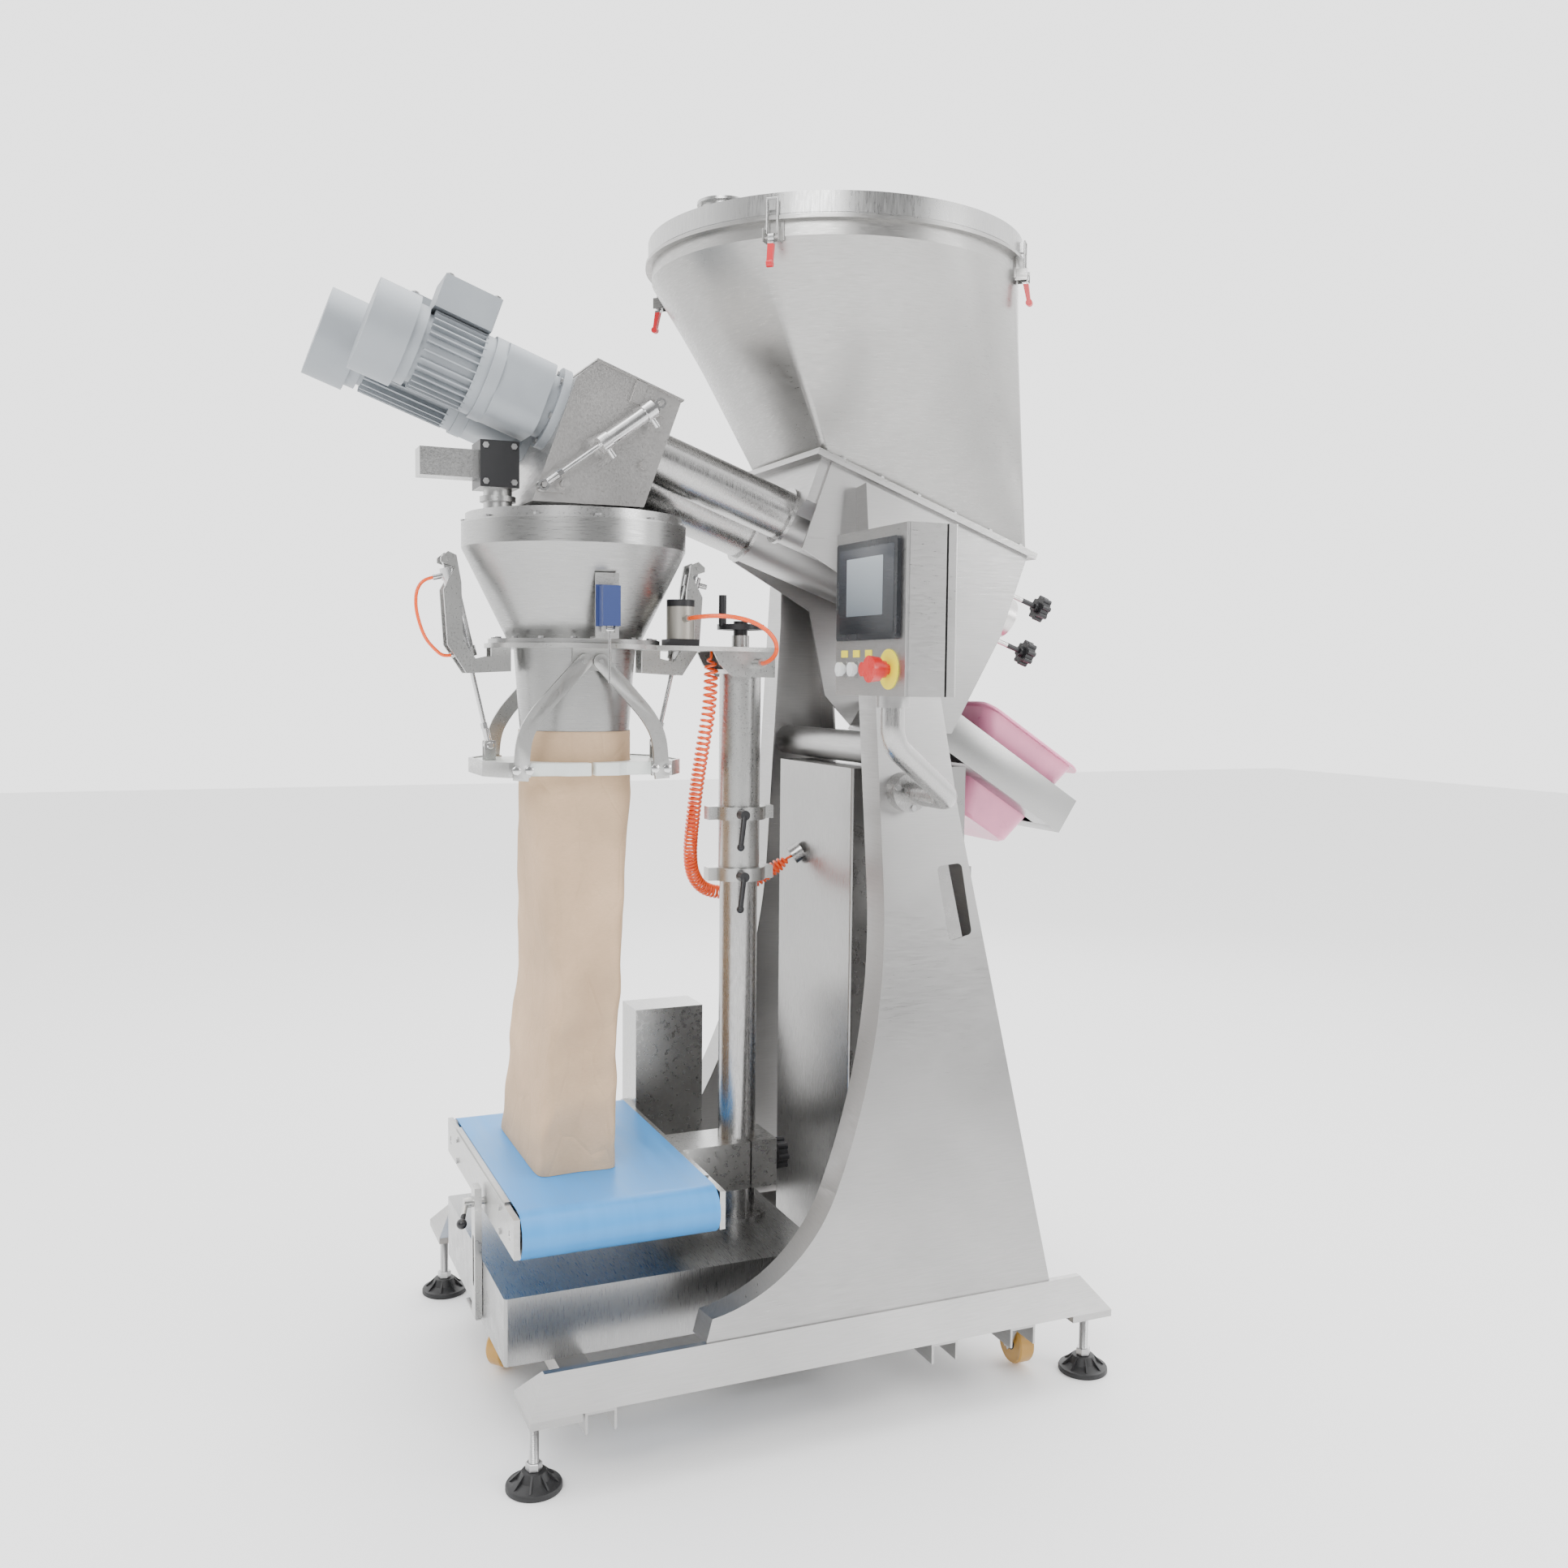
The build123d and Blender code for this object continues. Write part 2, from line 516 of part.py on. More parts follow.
def auger(label, y, tube_r, shaft_r, pitch):
    """A shaft with one flight along the tube and the trough."""
    flight_r = tube_r - TUBE_WALL - SCREW_CLEARANCE
    start = TUBE_U0 - 30
    length = TROUGH_U1 - TROUGH_SHEET - 20 - start
    with BuildPart() as screw:
        rod(feed(SCREW_U0, y, 0), feed(SCREW_U1, y, 0), shaft_r)
        path = Helix(pitch, length, shaft_r)
        width = flight_r - shaft_r + 1
        with BuildSketch(Plane(path @ 0, z_dir=path % 0, x_dir=(1, 0, 0))) as web:
            with Locations((width / 2 - 1, 0)):
                Rectangle(width, FLIGHT)
        flight = sweep(web.sketch, path=path, is_frenet=True, mode=Mode.PRIVATE)
        lay = Plane(origin=feed(start, y, 0), x_dir=(0, 1, 0), z_dir=(TILT_C, 0, -TILT_S))
        add(flight.moved(lay.location))
    save(screw, label)


auger("fine_auger", FINE_Y, FINE_TUBE_R, FINE_SHAFT_R, FINE_PITCH)
auger("coarse_auger", COARSE_Y, COARSE_TUBE_R, COARSE_SHAFT_R, COARSE_PITCH)

# ---------------------------------------------------------------- hopper, lid and toggle latches
FLANGE_PLANE = Plane(origin=feed((TROUGH_U0 + TROUGH_U1) / 2, 0, TROUGH_TOP), x_dir=(TILT_C, 0, -TILT_S),
                     z_dir=(TILT_S, 0, TILT_C))
MOUTH_LENGTH = TROUGH_U1 - TROUGH_U0


def hopper_form(wall):
    """The loft from the tilted rectangular mouth to the round top, inside by wall."""
    with BuildSketch(FLANGE_PLANE.offset(FLANGE)) as mouth:
        Rectangle(MOUTH_LENGTH - 2 * wall, 2 * (TROUGH_HALF_Y - wall))
        fillet(mouth.vertices(), 12)
    with BuildSketch(Plane.XY.offset(HOPPER_RIM_Z - HOPPER_BAND)) as crown:
        with Locations((HOPPER_X, 0)):
            Circle(HOPPER_R - wall)
    return loft([mouth.sketch.faces()[0], crown.sketch.faces()[0]], mode=Mode.PRIVATE)


LID_Z0 = HOPPER_RIM_Z + GASKET
LID_Z1 = LID_Z0 + LID_HEIGHT
LID_R = HOPPER_R + 7
PORT_SPOT = (HOPPER_X - 245, -60.0)
KEEPER_Z1 = LID_Z0 + 22
LATCH_R = LID_R + 9
LATCH_PIVOT_Z = HOPPER_RIM_Z - 36
BAIL_R = 1.6
BAIL_HALF = 9.0
TOGGLE_ANGLES = [TOGGLE_START + 90 * step for step in range(4)]


def round_hopper(angle, radius, across, z):
    """A point given by its bearing, radius, sideways offset and height about the hopper's axis."""
    turn = radians(angle)
    return (HOPPER_X + radius * cos(turn) - across * sin(turn), radius * sin(turn) + across * cos(turn), z)


def latch_base(angle):
    """The plate, ears and pin that hold one toggle latch."""
    facing = (cos(radians(angle)), sin(radians(angle)), 0)
    with Locations(Plane(origin=round_hopper(angle, HOPPER_R + 1.2, 0, LATCH_PIVOT_Z + 14), x_dir=facing,
                         z_dir=(0, 0, 1))):
        Box(4, 34, 32)
    for side in (-1, 1):
        with Locations(Plane(origin=round_hopper(angle, HOPPER_R + 12, side * 13.5, LATCH_PIVOT_Z + 4),
                             x_dir=facing, z_dir=(0, 0, 1))):
            Box(22, 2, 20)
    rod(round_hopper(angle, LATCH_R, -14.5, LATCH_PIVOT_Z), round_hopper(angle, LATCH_R, 14.5, LATCH_PIVOT_Z), 2.5)


with BuildPart() as hopper_shell:
    add(hopper_form(0))
    rod((HOPPER_X, 0, HOPPER_RIM_Z - HOPPER_BAND), (HOPPER_X, 0, HOPPER_RIM_Z), HOPPER_R)
    rod((HOPPER_X, 0, HOPPER_RIM_Z - FLANGE), (HOPPER_X, 0, HOPPER_RIM_Z), HOPPER_R + RIM_LIP)
    with BuildSketch(FLANGE_PLANE) as foot_lip:
        Rectangle(MOUTH_LENGTH + 2 * FLANGE_LIP, 2 * (TROUGH_HALF_Y + FLANGE_LIP))
    extrude(foot_lip.sketch, amount=FLANGE)
    with BuildSketch(FLANGE_PLANE) as foot_hole:
        Rectangle(MOUTH_LENGTH - 2 * HOPPER_WALL, 2 * (TROUGH_HALF_Y - HOPPER_WALL))
    extrude(foot_hole.sketch, amount=FLANGE, mode=Mode.SUBTRACT)
    add(hopper_form(HOPPER_WALL), mode=Mode.SUBTRACT)
    rod((HOPPER_X, 0, HOPPER_RIM_Z - HOPPER_BAND), (HOPPER_X, 0, HOPPER_RIM_Z), HOPPER_R - HOPPER_WALL,
        Mode.SUBTRACT)
    for angle in TOGGLE_ANGLES:
        latch_base(angle)
save(hopper_shell, "hopper_shell")

with BuildPart() as hopper_lid:
    rod((HOPPER_X, 0, LID_Z0), (HOPPER_X, 0, LID_Z1), LID_R)
    rod((HOPPER_X, 0, LID_Z0), (HOPPER_X, 0, LID_Z1 - LID_SHEET), LID_R - LID_SHEET, Mode.SUBTRACT)
    rod((HOPPER_X, 0, LID_Z1), (HOPPER_X, 0, LID_Z1 + 10), 22)
    rod((*PORT_SPOT, LID_Z1), (*PORT_SPOT, LID_Z1 + PORT_HEIGHT), PORT_R)
    rod((*PORT_SPOT, LID_Z1 + PORT_HEIGHT - 5), (*PORT_SPOT, LID_Z1 + PORT_HEIGHT), PORT_R + 7)
    rod((*PORT_SPOT, LID_Z1 - LID_SHEET), (*PORT_SPOT, LID_Z1 + PORT_HEIGHT), PORT_BORE_R, Mode.SUBTRACT)
    for angle in TOGGLE_ANGLES:
        with Locations(Plane(origin=round_hopper(angle, LID_R - 2, 0, LID_Z0 + 13),
                             x_dir=(cos(radians(angle)), sin(radians(angle)), 0), z_dir=(0, 0, 1))):
            Box(22, 12, 18)
    pipe((HOPPER_X, 0, HOPPER_RIM_Z), (HOPPER_X, 0, LID_Z0), HOPPER_R + 6, HOPPER_R - HOPPER_WALL)
    for angle in TOGGLE_ANGLES:
        top = KEEPER_Z1 + BAIL_R / 2
        rod(round_hopper(angle, LATCH_R, -BAIL_HALF, top), round_hopper(angle, LATCH_R, BAIL_HALF, top), BAIL_R)
        for side in (-1, 1):
            rod(round_hopper(angle, LATCH_R, side * BAIL_HALF, top),
                round_hopper(angle, LATCH_R, side * BAIL_HALF, LATCH_PIVOT_Z + 6), BAIL_R)
            with Locations(round_hopper(angle, LATCH_R, side * BAIL_HALF, top)):
                Sphere(BAIL_R)
save(hopper_lid, "hopper_lid")

for number, angle in enumerate(TOGGLE_ANGLES, 1):
    outward = (cos(radians(angle)), sin(radians(angle)), 0)
    with BuildPart() as toggle:
        seat = Plane(origin=round_hopper(angle, LATCH_R, 0, LATCH_PIVOT_Z), x_dir=outward,
                     z_dir=(outward[1], -outward[0], 0))
        with BuildSketch(seat) as lever:
            with BuildLine():
                Polyline((-6, -6), (7, -8), (12, -44), (6, -46), (-2, -12), (-6, -6))
            make_face()
            with Locations((0, 0)):
                Circle(7)
            with Locations((9, -44)):
                Circle(6)
        extrude(lever.sketch, amount=5, both=True)
        with BuildSketch(seat) as pin_hole:
            Circle(2.5 + RUNNING)
        extrude(pin_hole.sketch, amount=5, both=True, mode=Mode.SUBTRACT)
    save(toggle, "toggle_handle_%d" % number)

# ---------------------------------------------------------------- discharge chute and flap
FLAP_X = -402.0
FLAP_Z = 1560.0
FLAP_SHAFT_R = 7.0
FLAP_LENGTH = 133.0
FLAP_NOSE = 34.0
FLAP_LEVER = 36.0
FLAP_PLANE_Y = -CHUTE_HALF_Y - 16
FLAP_TOP = (-240.0, 1702.0)
chute_mouth = [feed(CHUTE_U0, 0, 47), feed(CHUTE_U0 + 24, 0, CHUTE_TOP), feed(CHUTE_U1, 0, CHUTE_TOP)]


def at_height(u, z):
    """Where a face across the screws at u crosses height z, as (x, z)."""
    v = (z - FEED_Z + u * TILT_S) / TILT_C
    return (FEED_X + u * TILT_C + v * TILT_S, z)


def chute_outline(inset):
    """The chute's side: square to the screws at both ends, chamfered above and cut level below."""
    front = CHUTE_U0 + inset
    rear = CHUTE_U1 - inset
    top = CHUTE_TOP - inset
    level = CHUTE_MOUTH_Z
    corner0 = feed(front, 0, 47 - inset / 2)
    corner1 = feed(front + 24 - inset / 2, 0, top)
    corner2 = feed(rear, 0, top)
    return [at_height(front, level), (corner0[0], corner0[2]), (corner1[0], corner1[2]),
            (corner2[0], corner2[2]), at_height(rear, level)]


with BuildPart() as chute_box:
    with BuildSketch(Plane.XZ.offset(-CHUTE_HALF_Y)) as chute_side:
        with BuildLine():
            Polyline(*chute_outline(0), close=True)
        make_face()
    extrude(chute_side.sketch, amount=2 * CHUTE_HALF_Y)
    with BuildSketch(Plane.XZ.offset(-CHUTE_HALF_Y + CHUTE_SHEET)) as chute_inside:
        with BuildLine():
            Polyline(*chute_outline(CHUTE_SHEET), close=True)
        make_face()
    extrude(chute_inside.sketch, amount=2 * (CHUTE_HALF_Y - CHUTE_SHEET), mode=Mode.SUBTRACT)
    for y, radius, shaft_r, pitch in SCREWS:
        rod(feed(CHUTE_U1 - CHUTE_SHEET - 1, y, 0), feed(CHUTE_U1 + 1, y, 0), radius, Mode.SUBTRACT)
        rod(feed(CHUTE_U0 - 1, y, 0), feed(CHUTE_U0 + CHUTE_SHEET + 1, y, 0), shaft_r + RUNNING, Mode.SUBTRACT)
    rod((FLAP_X, -CHUTE_HALF_Y - 1, FLAP_Z), (FLAP_X, CHUTE_HALF_Y + 1, FLAP_Z), FLAP_SHAFT_R + RUNNING,
        Mode.SUBTRACT)
    rod((FLAP_TOP[0], -CHUTE_HALF_Y, FLAP_TOP[1]), (FLAP_TOP[0], FLAP_PLANE_Y - 10, FLAP_TOP[1]), PIN_R)
    rod((FLAP_TOP[0], -CHUTE_HALF_Y, FLAP_TOP[1]), (FLAP_TOP[0], -CHUTE_HALF_Y - 5, FLAP_TOP[1]), 9)
    for u, v in ((CHUTE_U1 - 24, -40), (CHUTE_U1 - 24, 52)):
        for side in (-1, 1):
            hexagon(feed(u, side * CHUTE_HALF_Y, v), feed(u, side * (CHUTE_HALF_Y + 7), v), 8)
    lid_low = feed(CHUTE_U0 + 28, 0, CHUTE_TOP)
    with BuildSketch(Plane(origin=feed((CHUTE_U0 + CHUTE_U1) / 2 + 12, 0, CHUTE_TOP), x_dir=(TILT_C, 0, -TILT_S),
                           z_dir=(TILT_S, 0, TILT_C))) as cover:
        Rectangle(CHUTE_U1 - CHUTE_U0 - 18, 2 * CHUTE_HALF_Y + 8)
    extrude(cover.sketch, amount=3)
    for side in (-1, 1):
        clasp = Plane(origin=feed(-250, side * (CHUTE_HALF_Y + 2.5), CHUTE_TOP - 20), x_dir=(TILT_C, 0, -TILT_S),
                      z_dir=(0, -1, 0))
        with Locations(clasp):
            Box(18, 38, 5)
save(chute_box, "chute_box")

FLAP_TIP = (FLAP_X - FLAP_LEVER, FLAP_Z - 4)
with BuildPart() as flap_gate:
    rod((FLAP_X, FLAP_PLANE_Y - 4, FLAP_Z), (FLAP_X, CHUTE_HALF_Y + 6, FLAP_Z), FLAP_SHAFT_R)
    block((FLAP_X - FLAP_NOSE, -CHUTE_HALF_Y + CHUTE_SHEET + 2, FLAP_Z - 1.5),
          (FLAP_X + FLAP_LENGTH, CHUTE_HALF_Y - CHUTE_SHEET - 2, FLAP_Z + 1.5))
    with BuildSketch(Plane.XZ.offset(CHUTE_HALF_Y + 2)) as lever:
        with BuildLine():
            Polyline((FLAP_X + 3, FLAP_Z + 13), (FLAP_TIP[0] - 3, FLAP_TIP[1] + 9), (FLAP_TIP[0] - 3, FLAP_TIP[1] - 9),
                     (FLAP_X + 3, FLAP_Z - 13), (FLAP_X + 3, FLAP_Z + 13))
        make_face()
        with Locations((FLAP_X, FLAP_Z)):
            Circle(14)
        with Locations(FLAP_TIP):
            Circle(9)
    extrude(lever.sketch, amount=6)
    rod((FLAP_TIP[0], -CHUTE_HALF_Y - 8, FLAP_TIP[1]), (FLAP_TIP[0], FLAP_PLANE_Y - 12, FLAP_TIP[1]), PIN_R)
save(flap_gate, "flap_gate")


PORT_REACH = 29.0             # a cylinder's air port, from its axis to the tip of the fitting


def cylinder_pair(prefix, top, bottom, y, barrel_share, stroke, slack):
    """A pneumatic cylinder hung from a pin at top, its rod end on a pin at bottom, drawing in by stroke.

    slack widens the rod's eye: the barrel's tilt and the stroke follow the jaw in straight proportion.
    """
    start = Vector(top[0], y, top[1])
    end = Vector(bottom[0], y, bottom[1])
    aim = (end - start).normalized()
    run = (end - start).length
    face = start + aim * (run * barrel_share)
    with BuildPart() as barrel:
        rod(tuple(start + aim * 16), tuple(face), CYLINDER_R)
        rod(tuple(start + aim * 14), tuple(start + aim * 34), CYLINDER_R + 2.5)
        rod(tuple(face - aim * 18), tuple(face), CYLINDER_R + 2.5)
        with Locations(Plane(origin=tuple(start + aim * 8), x_dir=tuple(aim), z_dir=(0, 1, 0))):
            Box(20, 14, 11)
        rod((top[0], y - 5.5, top[1]), (top[0], y + 5.5, top[1]), 9)
        rod((top[0], y - 6, top[1]), (top[0], y + 6, top[1]), PIN_R + RUNNING, Mode.SUBTRACT)
        outward = Vector(aim.Z, 0, -aim.X) * (1 if aim.X > 0 else -1)
        for spot in (start + aim * 26, face - aim * 9):
            rod(tuple(spot + outward * 10), tuple(spot + outward * PORT_REACH), 5)
        rod(tuple(face - aim * 20), tuple(face), ROD_R + RUNNING, Mode.SUBTRACT)
        rod(tuple(face - aim * (stroke + 26)), tuple(face - aim * 12), CYLINDER_R - 2.5, Mode.SUBTRACT)
    save(barrel, prefix + "_barrel")
    with BuildPart() as piston_rod:
        rod(tuple(face - aim * 22), tuple(end - aim * 12), ROD_R)
        rod(tuple(face - aim * 22), tuple(face - aim * 14), CYLINDER_R - 2.5 - RUNNING)
        hexagon(tuple(end - aim * 40), tuple(end - aim * 30), 7)
        rod(tuple(end - aim * 30), tuple(end - aim * 8), 6)
        rod((bottom[0], y - 5.5, bottom[1]), (bottom[0], y + 5.5, bottom[1]), 9.5)
        rod((bottom[0], y - 6, bottom[1]), (bottom[0], y + 6, bottom[1]), PIN_R + slack, Mode.SUBTRACT)
    save(piston_rod, prefix + "_rod")


cylinder_pair("flap", FLAP_TOP, FLAP_TIP, FLAP_PLANE_Y, 0.52, 18, 1.3)

# ---------------------------------------------------------------- gearmotors
MOTORS = ((FINE_Y, 0.0, FINE_SHAFT_R), (COARSE_Y, 58.0, COARSE_SHAFT_R))
GEAR_U = CHUTE_U0


def finned_housing(y, u0, u1):
    """A ribbed motor housing between two end bells."""
    rod(feed(u0, y, 0), feed(u1, y, 0), MOTOR_R - 9)
    with BuildSketch(feed_section(u0 + 14)) as fins:
        with Locations((y, 0)):
            with PolarLocations(MOTOR_R - 9, 28):
                Rectangle(20, 2.6)
    extrude(fins.sketch, amount=u1 - u0 - 28)


with BuildPart() as gearmotors:
    for y, extra, shaft_r in MOTORS:
        u = GEAR_U
        rod(feed(u - 14, y, 0), feed(u, y, 0), 70)
        rod(feed(u - 30, y, 0), feed(u - 14, y, 0), 54)
        with BuildSketch(feed_section(u - 112)) as gear_case:
            with Locations((y, 0)):
                RectangleRounded(126, 126, 34)
        extrude(gear_case.sketch, amount=82)
        rod(feed(u - 132, y, 0), feed(u - 112, y, 0), MOTOR_R + 4)
        finned_housing(y, u - 250 - extra, u - 132)
        rod(feed(u - 150, y, 0), feed(u - 132, y, 0), MOTOR_R)
        rod(feed(u - 262 - extra, y, 0), feed(u - 244 - extra, y, 0), MOTOR_R)
        rod(feed(u - 330 - extra, y, 0), feed(u - 262 - extra, y, 0), FAN_COVER_R)
        with Locations(Plane(origin=feed(u - 194 - extra / 2, y, MOTOR_R + 24), x_dir=(TILT_C, 0, -TILT_S),
                             z_dir=(TILT_S, 0, TILT_C))):
            Box(96, 92, 56)
        rod(feed(SCREW_U0 - 2, y, 0), feed(u + 1, y, 0), shaft_r + RUNNING, Mode.SUBTRACT)
save(gearmotors, "gearmotors")

# ---------------------------------------------------------------- rear cleaning ports
with BuildPart() as cleaning_ports:
    for y, radius, shaft_r, pitch in SCREWS:
        port_r = radius + 2
        rod(feed(TROUGH_U1, y, 0), feed(TROUGH_U1 + 8, y, 0), port_r + 6)
        rod(feed(TROUGH_U1, y, 0), feed(TROUGH_U1 + 46, y, 0), port_r - 8)
        rod(feed(TROUGH_U1, y, 0), feed(SCREW_U1 + 2, y, 0), shaft_r + RUNNING, Mode.SUBTRACT)
        knob_u = TROUGH_U1 + 96 if y < 0 else TROUGH_U1 + 74
        for angle in (90, 270):
            across = port_r * cos(radians(angle)) + y
            rise = port_r * sin(radians(angle))
            rod(feed(TROUGH_U1, across, rise), feed(knob_u, across, rise), 5)
            rod(feed(knob_u, across, rise), feed(knob_u + 22, across, rise), 11)
            with BuildSketch(feed_section(knob_u + 8)) as star:
                with Locations((across, rise)):
                    Circle(20)
                    with PolarLocations(20, 8):
                        Circle(5)
            extrude(star.sketch, amount=18)
save(cleaning_ports, "cleaning_ports")

# ---------------------------------------------------------------- column head: outer tube, arm and brackets
ARM_HALF_Y = 46.0
ARM_SIDE = 5.0
ARM_X1 = COLUMN_X + COLUMN_OUTER_R + 12
SCREW_R = 9.0
GLAND_X = -20.0
GLAND_Z = 1275.0
BRACKET_Y = 16.0
JAW_PIVOT = 14.0             # each jaw's pivot, ahead of or behind the spout's axis
BRACKET = 6.0
TRUNNIONS = ((HEAD_X - TRUNNION_OFFSET, -1), (HEAD_X + TRUNNION_OFFSET, 1))


with BuildPart() as column_head:
    pipe((COLUMN_X, COLUMN_Y, COLUMN_SPLIT), (COLUMN_X, COLUMN_Y, COLUMN_TOP), COLUMN_OUTER_R,
         COLUMN_INNER_R + RUNNING)
    with BuildSketch(Plane.XY.offset(DECK_Z)) as deck:
        with Locations((HEAD_X, 0)):
            Circle(DECK_R)
        with BuildLine():
            Polyline((HEAD_X, -DECK_R + 40), (ARM_X1, COLUMN_Y - ARM_HALF_Y), (ARM_X1, COLUMN_Y + ARM_HALF_Y),
                     (HEAD_X, DECK_R - 60), (HEAD_X, -DECK_R + 40))
        make_face()
        with Locations((HEAD_X, 0)):
            Circle(SPOUT_TOP_R + 2, mode=Mode.SUBTRACT)
        with Locations((COLUMN_X, COLUMN_Y)):
            Circle(SCREW_R + RUNNING, mode=Mode.SUBTRACT)
    extrude(deck.sketch, amount=DECK)
    for side in (-1, 1):
        y0 = COLUMN_Y + side * ARM_HALF_Y - (ARM_SIDE if side > 0 else 0)
        with BuildSketch(Plane.XZ.offset(-y0 - ARM_SIDE)) as cheek:
            with BuildLine():
                Polyline((ARM_X1, DECK_Z), (ARM_X1, COLUMN_TOP - 6), (-66, COLUMN_TOP - 6), (-92, DECK_Z - 24),
                         (-104, DECK_Z), (ARM_X1, DECK_Z))
            make_face()
        extrude(cheek.sketch, amount=ARM_SIDE)
    block((COLUMN_X - 40, COLUMN_Y - ARM_HALF_Y + ARM_SIDE, COLUMN_TOP),
          (ARM_X1, COLUMN_Y + ARM_HALF_Y - ARM_SIDE, COLUMN_TOP + 8))
    block((ARM_X1 - 5, COLUMN_Y - ARM_HALF_Y + ARM_SIDE, COLUMN_TOP + 8),
          (ARM_X1, COLUMN_Y + ARM_HALF_Y - ARM_SIDE, DECK_Z))
    rod((COLUMN_X, COLUMN_Y, COLUMN_TOP - 1), (COLUMN_X, COLUMN_Y, DECK_Z + DECK + 22), 16)
    rod((COLUMN_X, COLUMN_Y, COLUMN_TOP - 2), (COLUMN_X, COLUMN_Y, DECK_Z + DECK + 23), SCREW_R + RUNNING,
        Mode.SUBTRACT)
    for z in COLLAR_ZS:
        rod((COLUMN_X, COLUMN_Y, z - COLLAR_HEIGHT / 2), (COLUMN_X, COLUMN_Y, z + COLLAR_HEIGHT / 2), COLLAR_R)
        for ear in (-1, 1):
            ear_x = COLUMN_X + ear * (COLLAR_R + 4)
            block((ear_x - 11, COLUMN_Y - 12, z - COLLAR_HEIGHT / 2), (ear_x + 11, COLUMN_Y + 12,
                                                                     z + COLLAR_HEIGHT / 2))
        rod((COLUMN_X - 16, COLUMN_Y - COLLAR_R - 12, z), (COLUMN_X - 16, COLUMN_Y - COLUMN_OUTER_R - 1, z), 5)
    rod((COLUMN_X, COLUMN_Y, COLUMN_SPLIT - COLLAR_HEIGHT), (COLUMN_X, COLUMN_Y, COLUMN_TOP),
        COLUMN_INNER_R + RUNNING, Mode.SUBTRACT)
    rod((GLAND_X, COLUMN_Y - ARM_HALF_Y + 1, GLAND_Z), (GLAND_X, COLUMN_Y - ARM_HALF_Y - 26, GLAND_Z), 9)
    block((HEAD_X + 158, -BRACKET_Y, DECK_Z - 1), (HEAD_X + 240, BRACKET_Y, DECK_Z + DECK + 1), Mode.SUBTRACT)
    for x, side in TRUNNIONS:
        for row in (-1, 1):
            y0 = row * BRACKET_Y - (BRACKET if row < 0 else 0)
            inner_x = HEAD_X + side * 118
            with BuildSketch(Plane.XZ.offset(-y0 - BRACKET)) as hook:
                with BuildLine():
                    Polyline((inner_x, DECK_Z), (inner_x, DECK_Z - 40), (x - side * 30, DECK_Z - 44),
                             (x + side * 2, DECK_Z + 4), (x + side * 8, TRUNNION_Z - 52),
                             (x - side * 12, TRUNNION_Z - 14), (x + side * 12, TRUNNION_Z - 6),
                             (x + side * 12, TRUNNION_Z + 2), (x, TRUNNION_Z + 12), (x - side * 14, TRUNNION_Z + 6),
                             (x - side * 22, TRUNNION_Z - 40), (x - side * 24, DECK_Z + 12),
                             (x - side * 46, DECK_Z - 20), (inner_x + side * 34, DECK_Z - 14),
                             (inner_x + side * 34, DECK_Z), (inner_x, DECK_Z))
                make_face()
            extrude(hook.sketch, amount=BRACKET)
        rod((x, -BRACKET_Y - BRACKET - 2, TRUNNION_Z), (x, BRACKET_Y + BRACKET + 2, TRUNNION_Z), PIN_R)
    for side in (-1, 1):
        lug_y = side * (CLAMP_ARM_Y - CLAMP_ARM / 2 - 1)
        far_y = lug_y - side * 6.5
        block((HEAD_X - 34, min(lug_y, far_y), CLAMP_PIVOT_Z - 16), (HEAD_X + 34, max(lug_y, far_y), DECK_Z))
        for end in (-1, 1):
            rod((HEAD_X + end * JAW_PIVOT, far_y, CLAMP_PIVOT_Z),
                (HEAD_X + end * JAW_PIVOT, side * (CLAMP_ARM_Y + CLAMP_ARM), CLAMP_PIVOT_Z), PIN_R)
save(column_head, "column_head")

# ---------------------------------------------------------------- collar levers, handwheel and lifting screw
for name, z in (("collar_lever_upper", COLLAR_ZS[0]), ("collar_lever_lower", COLLAR_ZS[1])):
    stud = (COLUMN_X - 16, COLUMN_Y - COLLAR_R - 2)
    with BuildPart() as clamp_lever:
        rod((stud[0], stud[1], z), (stud[0], stud[1] - 22, z), 9)
        rod((stud[0], stud[1] - 17, z), (stud[0] - 12, stud[1] - 30, z - 56), 5)
        with Locations((stud[0] - 12, stud[1] - 30, z - 56)):
            Sphere(7)
        rod((stud[0], stud[1], z), (stud[0], stud[1] - 10, z), 5 + RUNNING, Mode.SUBTRACT)
    save(clamp_lever, name)

WHEEL_SEAT = DECK_Z + DECK + 22
with BuildPart() as handwheel:
    pipe((COLUMN_X, COLUMN_Y, WHEEL_SEAT + 10), (COLUMN_X, COLUMN_Y, WHEEL_SEAT + 20), 43, 35)
    rod((COLUMN_X, COLUMN_Y, WHEEL_SEAT), (COLUMN_X, COLUMN_Y, WHEEL_SEAT + 26), 13)
    for turn in (0, 120, 240):
        tip = (COLUMN_X + 39 * cos(radians(turn + 190)), COLUMN_Y + 39 * sin(radians(turn + 190)), WHEEL_SEAT + 15)
        rod((COLUMN_X, COLUMN_Y, WHEEL_SEAT + 15), tip, 5)
    rod((COLUMN_X - 38, COLUMN_Y - 7, WHEEL_SEAT + 16), (COLUMN_X - 38, COLUMN_Y - 7, WHEEL_SEAT + 72), 7)
    rod((COLUMN_X, COLUMN_Y, COLUMN_INNER_TOP - 90), (COLUMN_X, COLUMN_Y, WHEEL_SEAT + 2), SCREW_R)
save(handwheel, "handwheel")

